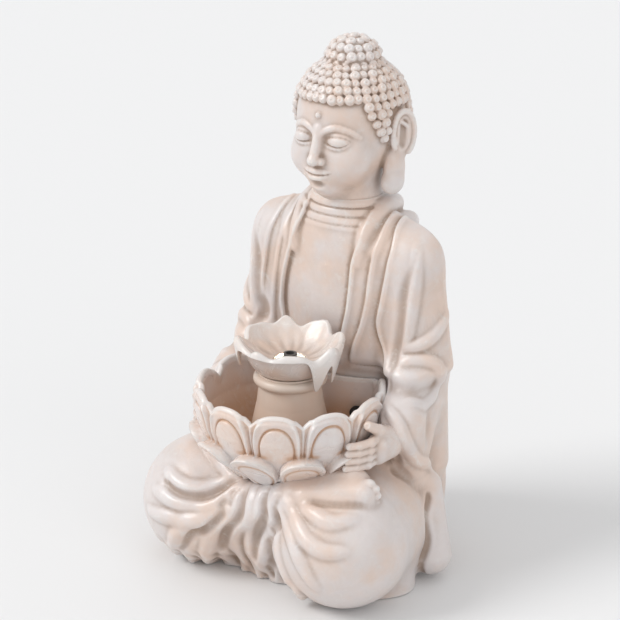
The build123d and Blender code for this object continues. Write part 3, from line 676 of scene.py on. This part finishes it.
head.fold([(-9, 0, 375.8), (-4, -3, 373.6), (0, -4, 373.0), (4, -3, 373.6), (9, 0, 375.8)], 3.0, 1.9, 2.2)
head.groove([(-14, 3, 379.8), (-8, -2, 377.4), (0, -5, 376.6), (8, -2, 377.4), (14, 3, 379.8)], 0.9, 0.9, 0.9)
head.groove([(-7, -1, 367.0), (0, -2, 366.4), (7, -1, 367.0)], 3.0, 1.2, 4.0)
head.add(ball((0, 0.8, 431), (2.6, 2.0, 2.6)), 0.8)

# ears with a hollow, a rolled rim and a long lobe
for side in (-1, 1):
    turned = radians(-side * 18)
    along = np.array([-sin(turned), cos(turned), 0.0])
    out = np.array([side * cos(turned), side * sin(turned), 0.0])
    high = np.array([0.0, 0.0, 1.0])
    middle = np.array([side * 50.5, 60.0, 410.0])
    head.add(ball(tuple(middle), (5.5, 13.5, 23), -side * 18), 3)
    rim_turn = np.radians(np.linspace(215, -60, 24))
    rim = middle + 12.2 * np.cos(rim_turn)[:, None] * along
    rim = rim + 20.5 * np.sin(rim_turn)[:, None] * high + 3.0 * out
    for a, b in zip(rim[:-1], rim[1:]):
        head.add(limb(a, b, 2.6, 2.6), 1.2)
    head.cut(limb(middle + 9 * high + 8.5 * out, middle - 10 * high + 8 * out - 2 * along, 6.6, 5.6), 1.5)
    inner = [middle - 4 * along + 12 * high + 3.4 * out, middle + 4.5 * along + 6 * high + 3.0 * out,
             middle + 4.5 * along - 8 * high + 3.0 * out]
    for a, b in zip(inner[:-1], inner[1:]):
        head.add(limb(a, b, 1.9, 1.9), 1.0)
    head.add(ball(tuple(middle - 9.5 * along - 6 * high + 3.2 * out), (2.6, 3.4, 4.5), -side * 18), 1.5)
    head.add(ball((side * 46.5, 55, 378), (8.0, 11.5, 20), -side * 12), 4)
    head.add(ball((side * 46.0, 53, 364.5), (9.0, 12.0, 11.5), -side * 12), 4)


def curl(centre, out, size):
    """Snail-shell curl: a knob with a spiral line that winds in to a small pit at its tip."""
    centre, out = np.array(centre, float), np.array(out, float)
    out = out / np.linalg.norm(out)
    across = np.cross(out, [0, 0, 1.0] if abs(out[2]) < 0.9 else [0, 1.0, 0])
    across = across / max(np.linalg.norm(across), 1e-6)
    up = np.cross(across, out)

    def far(x, y, z):
        x, y, z = x - centre[0], y - centre[1], z - centre[2]
        u = x * across[0] + y * across[1] + z * across[2]
        v = x * up[0] + y * up[1] + z * up[2]
        w = x * out[0] + y * out[1] + z * out[2]
        flat = np.sqrt(u * u + v * v)
        spiral = np.cos(np.arctan2(v, u) + 2 * pi * flat / (size * 0.62))
        knob = np.sqrt(u * u + v * v + (w * 1.05) ** 2) - size
        pit = 0.9 * np.exp(-(flat / (size * 0.2)) ** 2) * (w > 0)
        return knob + 0.42 * spiral * ease(w, 0.0, size * 0.5) + pit

    return far, centre - size - 1, centre + size + 1


SCALP = np.array([0.0, 54.0, 424.0])
scalp_r = np.array([49.5, 54.0, 51.5])
for row in range(14):
    lift = radians(-34 + 8.4 * row)
    ring = np.cos(lift) * 52
    count = max(6, int(round(2 * pi * ring / 8.1)))
    for k in range(count):
        turn = 2 * pi * (k + 0.5 * (row % 2)) / count
        away = np.array([np.sin(turn) * np.cos(lift), -np.cos(turn) * np.cos(lift), np.sin(lift)])
        spot = SCALP + away * scalp_r
        ahead = np.cos(turn)
        edge = np.interp(ahead, [-1.0, 0.30, 0.68, 1.0], [392.0, 408.0, 441.0, 445.0])
        by_ear = abs(spot[1] - 60) < 15 and spot[2] < 432
        if spot[2] > edge and not by_ear:
            shift = np.sin(np.array([3.1, 7.7, 5.3]) * (row * 17.0 + k * 5.0))
            head.add(curl(spot + 0.5 * shift, away + 0.10 * shift, 4.7 + 0.35 * shift[0]), 1.0)
KNOT = np.array([0.0, 55.0, 471.5])
for row in range(4):
    lift = radians(-4 + 22 * row)
    ring = np.cos(lift) * 23
    count = max(4, int(round(2 * pi * ring / 8.1)))
    for k in range(count):
        turn = 2 * pi * (k + 0.5 * (row % 2)) / count
        away = np.array([np.sin(turn) * np.cos(lift), -np.cos(turn) * np.cos(lift), np.sin(lift)])
        shift = np.sin(np.array([2.3, 4.7, 6.1]) * (row * 13.0 + k * 7.0))
        spot = KNOT + away * [23, 23, 20] + 0.5 * shift
        head.add(curl(spot, away + 0.10 * shift, 4.9 + 0.35 * shift[0]), 1.0)
head.add(ball(tuple(KNOT), (23, 23, 20)), 2)
head.add(curl(KNOT + [0, 0, 19.6], (0, 0, 1), 5.2), 1.5)
cut, x, y, z = head.patch((-68, -14, 334), (68, 114, 345))
head.dist[cut] = np.maximum(head.dist[cut], 338.3 - z)
head_piece = cast(head, "curled_head", 60000 if rough else 192000)
head_piece.data.materials.append(figure_resin)
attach(head_piece, "fountain")
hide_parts("figure_head")

# ---------------------------------------------------------------- hands
# Each hand is cast on its own in the same resin and glued into the cuff: the palm lies against the basin's
# side, the thumb points up over the petals and the four fingers curl forwards round them.
def make_hand_clay():
    """The left hand in clay: a palm, four bent fingers with nails and a raised thumb."""
    hand = Clay((58, -92, 118), (118, 8, 184), 1.0 if rough else 0.7)
    hand.add(limb((98, 0, 151), (98, -26, 149), 13.5, 12.5), 1)
    hand.add(limb((98, -26, 152), (97, -40, 151), 12.0, 10.5), 6)
    hand.add(limb((98, -26, 144), (96, -40, 141), 11.0, 10.0), 6)
    for k in range(4):
        z = 158.0 - 6.9 * k
        start = np.array([98.5 - 0.5 * k, -40.0 - 1.0 * k, z])
        bend = start + [-0.5, -13.0, -0.6]
        middle = bend + [-5.0, -10.5, -0.8]
        tip = middle + [-7.0, -6.5, -0.6]
        hand.add(limb(start, bend, 4.3, 4.2), 1.2)
        hand.add(limb(bend, middle, 4.1, 3.8), 0.9)
        hand.add(limb(middle, tip, 3.8, 3.4), 0.8)
        hand.add(ball(tuple(bend + [0.6, -1.0, 0]), (4.2, 4.4, 4.2)), 1.0)
        hand.cut(ball(tuple(tip + [3.0, -3.0, 0.4]), (1.6, 2.4, 2.0), -45), 0.5)
    hand.add(limb((99, -28, 156), (98, -41, 165), 7.0, 5.6), 4)
    hand.add(limb((98, -41, 165), (94, -52, 172), 5.4, 4.4), 1.4)
    hand.cut(ball((95.5, -56.5, 174.5), (2.4, 2.0, 2.8), 20), 0.5)
    cut, x, y, z = hand.patch((50, -110, 110), (120, 10, 195))
    from_axis = np.sqrt(x * x + (y + 42) ** 2)
    wall = np.interp(z.ravel(), [108, 131, 160, 191], [58, 79, 87, 91])[None, None, :]
    hand.dist[cut] = np.maximum(hand.dist[cut], wall - from_axis)
    return hand


hand_clay = make_hand_clay()
hand_points, hand_faces = hand_clay.skin()
# relief for the paint: low in the hollows, where the brown wash also paints their shade, and high on the
# ridges, where the dry brush also paints a highlight
hand_relief = np.clip(hand_clay.at(hand_points, hand_clay.worn(4)) / 1.6, -1.4, 1.4) - 0.25
for name, node, side in (("hand_left", "left_hand", 1), ("hand_right", "right_hand", -1)):
    faces = hand_faces if side > 0 else hand_faces[:, ::-1]
    piece = to_mesh(name, hand_points * [side * MM, MM, MM], faces, hand_relief)
    piece.data.materials.append(figure_resin)
    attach(piece, "fountain")
    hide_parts(node)

# ---------------------------------------------------------------- lotus basin
# The basin is one casting bonded on the lap: a deep bowl with a tier of upright petals round its rim and a
# tier of smaller ones curling out under it. A double ridge fills the space between two petals.
AXIS_Y = -42.0


def revolve_grid(radius, height, name, material, body_name, relief=None, close_bottom=True):
    """Closed skin from two arrays [along profile, round axis] of radius and height, in mm."""
    rows_count, turns = radius.shape
    turn = 2 * pi * np.arange(turns) / turns
    x = radius * np.cos(turn)
    y = radius * np.sin(turn) + AXIS_Y
    points = np.stack([x, y, height], 2).reshape(-1, 3)
    k, j = np.meshgrid(np.arange(rows_count - 1), np.arange(turns), indexing="ij")
    a = k * turns + j
    b = k * turns + (j + 1) % turns
    faces = np.stack([a, b, b + turns, a + turns], 2).reshape(-1, 4)
    marks = np.zeros(len(points)) if relief is None else relief.reshape(-1)
    if close_bottom:
        ends = []
        for row in (0, rows_count - 1):
            points = np.vstack([points, [[0, AXIS_Y, height[row].mean()]]])
            marks = np.append(marks, marks[row * turns:(row + 1) * turns].mean())
            hub = len(points) - 1
            ringed = row * turns + np.arange(turns)
            after = row * turns + (np.arange(turns) + 1) % turns
            fan = np.stack([ringed, np.full(turns, hub), after], 1) if row == 0 else \
                np.stack([ringed, after, np.full(turns, hub)], 1)
            ends.append(fan)
        tri = np.vstack([faces[:, [0, 1, 2]], faces[:, [0, 2, 3]]] + ends)
    else:
        tri = faces
    piece = to_mesh(name, points * MM, tri, marks)
    piece.data.materials.append(material)
    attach(piece, body_name)
    return piece


turns = 360 if rough else 720
theta = 2 * pi * np.arange(turns) / turns
UPPER, LOWER = 11, 11
PETAL_TURN = -62  # bearing of one upper petal's middle, in degrees
phase_up = (theta * 180 / pi - PETAL_TURN) / (360 / UPPER)
off_up = (phase_up - np.round(phase_up)) * 2
phase_low = (theta * 180 / pi - PETAL_TURN) / (360 / LOWER) + 0.5
off_low = (phase_low - np.round(phase_low)) * 2
at_belly = ease(np.sin(theta), 0.62, 0.80)


def belly_reach(angle):
    """Distance from the basin's axis to the belly's ellipse along each bearing, or 400 where it misses."""
    cx, sy = np.cos(angle) / 76.0, np.sin(angle) / 54.5
    d = (AXIS_Y - 64.0) / 54.5
    a = cx * cx + sy * sy
    b = 2 * d * sy
    c = d * d - 1
    under = b * b - 4 * a * c
    hit = (-b - np.sqrt(np.maximum(under, 0))) / (2 * a)
    return np.where((under > 0) & (hit > 0), hit, 400.0)


reach = belly_reach(theta)
scallop = 1 - np.clip(np.abs(off_up), 0, 1) ** 2.4
rim_top = 178.5 + 11.5 * scallop * (1 - at_belly) + 4 * at_belly

# profile from the foot, up the outside, over the rim and down the inside
up_wall = np.concatenate([[0.0, 0.0], np.linspace(0.006, 1, 60 if rough else 130)])[:, None]
outside_z = 108.0 + (rim_top[None] - 3.2 - 108.0) * up_wall
outside_r = np.interp(outside_z, [108, 118, 131, 145, 160, 178, 192], [52, 59, 68, 76, 81.5, 85.0, 87.0])
outside_r[0] = 20.0
# upper petals: a raised lip, a groove and a domed panel; a double ridge fills each gap
low_up = 124.0
v_up = (outside_z - low_up) / (rim_top[None] - low_up)
outline = np.sqrt(np.abs(off_up[None] / 0.92) ** 2.8 + np.clip(np.abs((v_up - 0.46) / 0.60), 0, 3) ** 3.4)
petal = ease(1.02 - outline, 0.0, 0.09)
panel_edge = np.sqrt(np.abs(off_up[None] / 0.66) ** 2.3 + np.clip(np.abs((v_up - 0.42) / 0.40), 0, 3) ** 2.6)
inner_line = np.exp(-((panel_edge - 1.03) / 0.065) ** 2)
dome = np.sqrt(np.clip(1 - panel_edge ** 2, 0, 1))
roll = np.exp(-((outline - 0.88) / 0.10) ** 2)
rise = petal * (3.4 - 1.9 * inner_line + 2.4 * dome + 1.7 * roll)
gap = (1 - petal) * ease(v_up, 0.02, 0.2)
strips = gap * (1.8 * np.cos(np.clip(np.abs(np.abs(off_up[None]) - 1) / 0.08, 0, 1) * pi / 2) ** 2)
# paint relief for the upper petals: pale on the rolled lips, partly dry brush and partly painted highlight;
# dark in the grooves and between petals, partly wash and partly painted shade
upper_relief = petal * (0.75 * roll - 1.1 * inner_line + 0.25 * dome) - (1 - petal) * 0.5 + strips * 0.5
# lower petals swell outwards under the upper ones and curl over at the tip
v_low = (outside_z - 109.0) / 39.0
tall_low = np.clip(np.abs((v_low - 0.42) / 0.60), 0, 3)
outline_low = np.sqrt(np.abs(off_low[None] / 0.98) ** 2.2 + tall_low ** 2.4)
petal_low = ease(1.02 - outline_low, 0.0, 0.12)
roll_low = np.exp(-((outline_low - 0.86) / 0.13) ** 2) * ease(v_low, 0.3, 0.8)
edge_low = np.sqrt(np.abs(off_low[None] / 0.70) ** 2.1 + np.clip(np.abs((v_low - 0.36) / 0.40), 0, 3) ** 2.3)
line_low = np.exp(-((edge_low - 1.02) / 0.09) ** 2)
rise_low = petal_low * (5.0 + 10.5 * ease(v_low, 0.0, 0.8) + 1.8 * roll_low - 1.6 * line_low)
# paint relief for the lower petals: pale on the curled tip, partly dry brush and partly painted highlight;
# dark on the inner line, partly wash and partly painted shade
low_relief = petal_low * (0.85 * roll_low - 0.9 * line_low + 0.1)
mid_petal = ease(1 - np.abs(off_low[None]), 0.1, 0.5)
# painted shade: a dark band at the top of each lower petal's middle, under its curled lip
under_lip_shade = np.exp(-((outside_z - 148.5) / 3.5) ** 2) * (1 - petal_low) * mid_petal
fade = ease(1 - up_wall, 0.0, 0.05)
outside_r = outside_r + np.maximum(rise + strips, rise_low) * (0.45 + 0.55 * fade)
outside_r[:2] = [[20.0], [50.0]]
relief_out = np.where(rise_low > rise + strips, low_relief, upper_relief) - under_lip_shade * 0.9

over = np.linspace(0, 1, 8 if rough else 14)[1:, None]
lip_out = outside_r[-1]
rim_in = lip_out - 6.4
edge_r = (lip_out + rim_in)[None] / 2 + 3.2 * np.cos(pi * over)
edge_z = (rim_top - 3.2)[None] + 3.2 * np.sin(pi * over)
down = np.linspace(0, 1, 40 if not rough else 20)[1:, None]
in_z = (rim_top - 3.2)[None] * (1 - down) + 115.0 * down
in_r = np.interp(in_z, [115, 122, 131, 158, 178], [44, 56, 63, 77.5, 80.5])
in_r = np.minimum(in_r, rim_in[None] + 4 * down)
floor = np.array([30.0, 12.0])[:, None] + 0 * theta[None]
radius = np.vstack([outside_r, edge_r, in_r, floor])
height = np.vstack([outside_z, edge_z, in_z, 115.0 + 0 * floor])
# painted shade: the inside of the bowl darkens with depth and its floor is darkest; the rim is pale, partly
# dry brush and partly a painted highlight
depth_shade = -0.95 * ease(178 - in_z, 2, 46) - 0.12
marks = np.vstack([relief_out, 0.8 + 0 * edge_r, depth_shade, -1.0 + 0 * floor])
inner_rows = np.arange(len(radius)) >= len(outside_r) + len(edge_r) // 2
most = reach[None] - np.where(inner_rows, 6.5, 0.4)[:, None]
near = np.clip((6.0 - np.abs(radius - most)) / 6.0, 0, 1)
radius = np.minimum(radius, most) - near * near * 1.5 * (most < 200)
# the basin's warm brown is partly wash and partly the painted shade inside the bowl
basin_resin = resin("basin_resin", CREAM, (0.58, 0.37, 0.24), CHALK_AND_HIGHLIGHT, 0.95, 0.05)
basin = revolve_grid(radius, height, "lotus_bowl", basin_resin, "fountain", marks)
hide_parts("lotus_basin")

# ---------------------------------------------------------------- pedestal
# The lift-off pedestal hides the pump. It is turned, with a rolled collar under the cup, and keeps its
# imported shape; its lower part is painted darker towards the foot as painted shade down in the bowl.
def coat(node, material):
    """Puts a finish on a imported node."""
    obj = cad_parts[node]
    obj.data.materials.clear()
    obj.data.materials.append(material)


def shaded_pedestal_resin():
    """Cream resin with painted shade that darkens it towards the foot, with mottled scale and a wet gloss."""
    paint = Paint("pedestal_resin")
    height = paint.node("ShaderNodeSeparateXYZ", {}, [paint.object], "Z")
    cloud = paint.noise(16.0, 4.0, 0.6)
    streak = paint.noise(60.0, 5.0, 0.65)
    # painted shade: the resin turns darker and browner towards the foot, below about 0.19 m, down in the bowl
    low = ((0.186 - height) * 16.0 + (cloud - 0.5) * 0.5).ramp(0.0, 1.0)
    colour = paint.mix(cloud.ramp(0.35, 0.68), (0.70, 0.55, 0.45, 1), (0.70, 0.60, 0.52, 1))
    colour = paint.mix(low * 0.45, colour, (0.56, 0.37, 0.25, 1))
    colour = paint.mix(streak.ramp(0.60, 0.80) * 0.35, colour, CHALK_AND_HIGHLIGHT + (1.0,))
    normal = paint.bump(streak, 0.2, 0.0008)
    return paint.set(Base_Color=colour, Roughness=0.42 + (streak - 0.5) * 0.16, Normal=normal,
                     Coat_Weight=0.2, Coat_Roughness=0.2)


coat("pump_cover", shaded_pedestal_resin())

# ---------------------------------------------------------------- ruffled cup
# The cup sits in the pedestal's socket. Its lip is ruffled like a leaf and three long lobes hang from it,
# so the water runs off in threads; the inside is a smooth hollow round the lamp ring.
turns_cup = 240 if rough else 480
angle = 2 * pi * np.arange(turns_cup) / turns_cup
ruffle = np.cos(8 * angle + 0.6) * 0.7 + np.cos(13 * angle + 1.9) * 0.3 + np.cos(5 * angle - 0.8) * 0.35


def lobe(at, width):
    """Bump of height 1 at a bearing in degrees."""
    gap = np.angle(np.exp(1j * (angle - radians(at))))
    return np.exp(-(np.degrees(gap) / width) ** 2)


hang = lobe(-19, 9) + 0.95 * lobe(2, 7) + 0.75 * lobe(216, 10) + 0.22 * lobe(150, 10) + 0.25 * lobe(64, 10)
hang = np.clip(hang, 0, 1)
lip_height = 231.0 + 4.2 * ruffle + 1.6 * np.sin(angle) - 1.5 * hang
lip_radius = 45.0 + 2.6 * ruffle + 1.5 * np.cos(angle - radians(30))
# drawn in at the back, so that it clears the chest when the cup is lifted
lip_radius = lip_radius - 5.0 * np.clip(np.sin(angle), 0, 1) ** 2
t_in = np.linspace(0, 1, 44 if not rough else 24)[:, None]
cup_in_r = 15.4 + (lip_radius[None] - 15.4) * t_in
pleat = np.cos(16 * angle + 0.5 + 0.8 * np.sin(3 * angle))[None] * t_in * (1 - t_in) * 3.0
cup_in_z = 212.2 + (lip_height[None] - 212.2) * t_in ** 2.0 + pleat * t_in
along_lip = np.linspace(0, 1, 44 if not rough else 24)[1:, None]
length = (7.0 + 1.8 * ruffle + 30.0 * hang)[None]
bend_r = 5.2
turn_by = np.minimum(along_lip * length / bend_r, pi / 2)
drop = np.maximum(along_lip * length - bend_r * pi / 2, 0)
flange_r = lip_radius[None] + bend_r * np.sin(turn_by) - 0.14 * drop - 0.004 * drop ** 2
crest = 1.2 * np.sin(pi * np.minimum(along_lip * length / 8, 1))
flange_z = lip_height[None] + crest - bend_r * (1 - np.cos(turn_by)) - drop
thick = 4.2 * (1 - 0.60 * along_lip ** 3)
under_r = (flange_r - thick * np.sin(turn_by))[::-1]
under_z = (flange_z - thick * np.cos(turn_by))[::-1]
t_out = np.linspace(0, 1, 34 if not rough else 18)[1:, None]
start_r, start_z = under_r[-1], under_z[-1]
left = 1 - t_out
cup_out_r = 27.5 + (start_r[None] - 27.5) * left ** 0.55
cup_out_z = 200.6 + (start_z[None] - 200.6) * left
foot_r = np.array([25.0, 19.0, 19.0, 7.6])[:, None] + 0 * angle[None]
foot_z = np.array([200.4, 200.4, 193.6, 193.6])[:, None] + 0 * angle[None]
seat_r = np.array([7.6, 15.4])[:, None] + 0 * angle[None]
seat_z = np.array([201.8, 201.8])[:, None] + 0 * angle[None]
cup_r = np.vstack([seat_r, cup_in_r, flange_r, under_r, cup_out_r, foot_r])
cup_z = np.vstack([seat_z, cup_in_z, flange_z, under_z, cup_out_z, foot_z])
# paint relief for the cup: painted shade deep inside it, on its seat and foot, under the hanging lobes and
# down the outside towards the foot; the lip is pale, partly dry brush and partly a painted highlight
cup_marks = np.vstack([
    -1.0 + 0 * seat_r,
    -0.45 + 0.9 * t_in ** 2 * np.ones_like(cup_in_r) + 0.3 * ruffle[None] * t_in + 0.25 * pleat,
    0.75 + 0 * flange_r,
    0.1 + 0 * under_r - 0.6 * hang[None],
    0.1 - 0.7 * t_out ** 3 * np.ones_like(cup_out_r),
    -1.0 + 0 * foot_r,
])
cup_r = np.vstack([cup_r, cup_r[:1]])[::-1]
cup_z = np.vstack([cup_z, cup_z[:1]])[::-1]
cup_marks = np.vstack([cup_marks, cup_marks[:1]])[::-1]
cup_resin = resin("cup_resin", (0.69, 0.605, 0.545), WASH_AND_SHADE, CHALK_AND_HIGHLIGHT, 0.8, 0.08)
cup = revolve_grid(cup_r, cup_z, "ruffled_cup", cup_resin, "cup", cup_marks, close_bottom=False)
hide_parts("flower_cup")

# ---------------------------------------------------------------- lamp ring, spout and pump
# Four warm white diodes are potted in clear epoxy round the spout. The pump under the pedestal is a small
# black submersible with a clip-on strainer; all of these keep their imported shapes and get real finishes.
def moulded(name, colour, rough_at, speck=0.12, metal=0.0, scale=600.0):
    """Plain moulded or machined finish: slight colour drift, fine texture and handling marks."""
    paint = Paint(name)
    drift = paint.noise(40.0, 4.0, 0.6)
    fine = paint.noise(scale, 3.0, 0.6)
    dark = tuple(c * (1 - speck) for c in colour) + (1.0,)
    light = tuple(min(1, c * (1 + speck) + 0.01) for c in colour) + (1.0,)
    tone = paint.mix(drift.ramp(0.3, 0.7), dark, light)
    worn = paint.noise(180.0, 6.0, 0.7).ramp(0.62, 0.75) * 0.15
    return paint.set(Base_Color=tone, Roughness=rough_at + (drift - 0.5) * 0.2 + worn, Metallic=metal,
                     Normal=paint.bump(fine, 0.25, 0.0004))


def clear(name, tint, rough_at, glow=0.0):
    """Potted epoxy or a diode's lens: clear, faintly rippled and lit from inside where glow is set."""
    paint = Paint(name)
    ripple = paint.noise(120.0, 3.0, 0.5)
    material = paint.set(Base_Color=tint + (1.0,), Roughness=rough_at + (ripple - 0.5) * 0.05, IOR=1.5,
                         Transmission_Weight=0.9, Normal=paint.bump(ripple, 0.15, 0.0005))
    if glow:
        paint.set(Emission_Color=(1.0, 0.93, 0.80, 1.0), Emission_Strength=glow)
    return material


black_plastic = moulded("black_plastic", (0.022, 0.022, 0.024), 0.42)
black_rubber = moulded("black_rubber", (0.018, 0.018, 0.018), 0.72)
coat("lamp_tray", moulded("tray_plastic", (0.42, 0.40, 0.37), 0.4))
coat("lamp_diodes", clear("lit_diode", (1.0, 0.97, 0.9), 0.12, 14.0))
coat("lamp_lens", clear("clear_epoxy", (0.95, 0.95, 0.93), 0.08))
coat("riser_tube", moulded("tube_vinyl", (0.07, 0.068, 0.065), 0.3))
for node in ("pump_housing", "volute_cover", "intake_strainer"):
    coat(node, black_plastic)
for node in ("basin_grommet", "rear_grommet", "cord_gland", "suction_cups", "shaft_bushes"):
    coat(node, black_rubber)
coat("flow_shutter", moulded("shutter_plastic", (0.09, 0.09, 0.095), 0.38))
coat("stator_core", moulded("core_steel", (0.50, 0.50, 0.51), 0.38, 0.15, 1.0))
coat("stator_coil", moulded("coil_copper", (0.70, 0.30, 0.13), 0.35, 0.2, 1.0, 1400.0))
coat("potting", moulded("potting_epoxy", (0.012, 0.012, 0.013), 0.15))
coat("rotor_magnet", moulded("magnet_ferrite", (0.06, 0.06, 0.065), 0.55, 0.2))
coat("impeller", moulded("impeller_plastic", (0.74, 0.74, 0.71), 0.4))
coat("pump_shaft", moulded("shaft_alumina", (0.85, 0.84, 0.81), 0.2))
coat("foam_filter", moulded("filter_foam", (0.03, 0.03, 0.03), 0.95, 0.5, 0.0, 220.0))
coat("base_board", moulded("hardboard", (0.24, 0.14, 0.075), 0.7, 0.25, 0.0, 900.0))
coat("base_screws", moulded("zinc_steel", (0.62, 0.60, 0.55), 0.32, 0.1, 1.0))
coat("screw_blocks", moulded("pine_block", (0.55, 0.38, 0.20), 0.65, 0.2, 0.0, 300.0))
coat("foot_pads", moulded("felt_pad", (0.20, 0.18, 0.16), 0.95, 0.25, 0.0, 1500.0))

# ---------------------------------------------------------------- floor, light and camera
# A pale seamless floor lit by three broad soft lights: a key from the upper left front, a weak fill from
# the right and a little from above. The camera looks down on it from the figure's left front.
FLOOR = 6.0
floor_corners = FLOOR * np.array([[-1, -1, 0], [1, -1, 0], [1, 1, 0], [-1, 1, 0]], float)
sweep = to_mesh("floor_sweep", floor_corners, np.array([[0, 1, 2, 3]]))
floor_paint = Paint("floor_paint")
sweep.data.materials.append(floor_paint.set(Base_Color=(0.80, 0.80, 0.80, 1.0), Roughness=0.9))

world = bpy.data.worlds.new("studio")
bpy.context.scene.world = world
world.use_nodes = True
world.node_tree.nodes["Background"].inputs["Color"].default_value = (0.94, 0.945, 0.955, 1.0)
world.node_tree.nodes["Background"].inputs["Strength"].default_value = 0.74


def lamp(name, place, power, spread):
    """Large soft light a long way off: shines from place to the fountain, spread degrees wide."""
    light = bpy.data.lights.new(name, "SUN")
    light.energy = power
    light.angle = radians(spread)
    obj = bpy.data.objects.new(name, light)
    bpy.context.scene.collection.objects.link(obj)
    obj.location = place
    obj.rotation_euler = Vector(place).to_track_quat("Z", "Y").to_euler()


lamp("key", (-1.5, -1.6, 1.9), 1.50, 28)
lamp("fill", (2.2, -1.0, 1.1), 0.40, 50)
lamp("top", (0.2, 0.6, 2.3), 0.15, 60)

AZIMUTH, LIFT, DISTANCE = radians(36), radians(20.5), 1.9
right = np.array([cos(AZIMUTH), sin(AZIMUTH), 0.0])
back = np.array([sin(AZIMUTH) * cos(LIFT), -cos(AZIMUTH) * cos(LIFT), sin(LIFT)])
above = np.cross(back, right)
target = np.array([0.0, 0.053, 0.240]) - right * 0.0377 - above * 0.0094
bpy.context.scene.view_settings.view_transform = "Standard"
view = bpy.data.cameras.new("view")
view.lens = 116.9
view.sensor_width = 36.0
camera = bpy.data.objects.new("view", view)
bpy.context.scene.collection.objects.link(camera)
pose = Matrix.Identity(4)
for i in range(3):
    pose[i][0], pose[i][1], pose[i][2] = right[i], above[i], back[i]
    pose[i][3] = (target + back * DISTANCE)[i]
camera.matrix_world = pose
bpy.context.scene.camera = camera
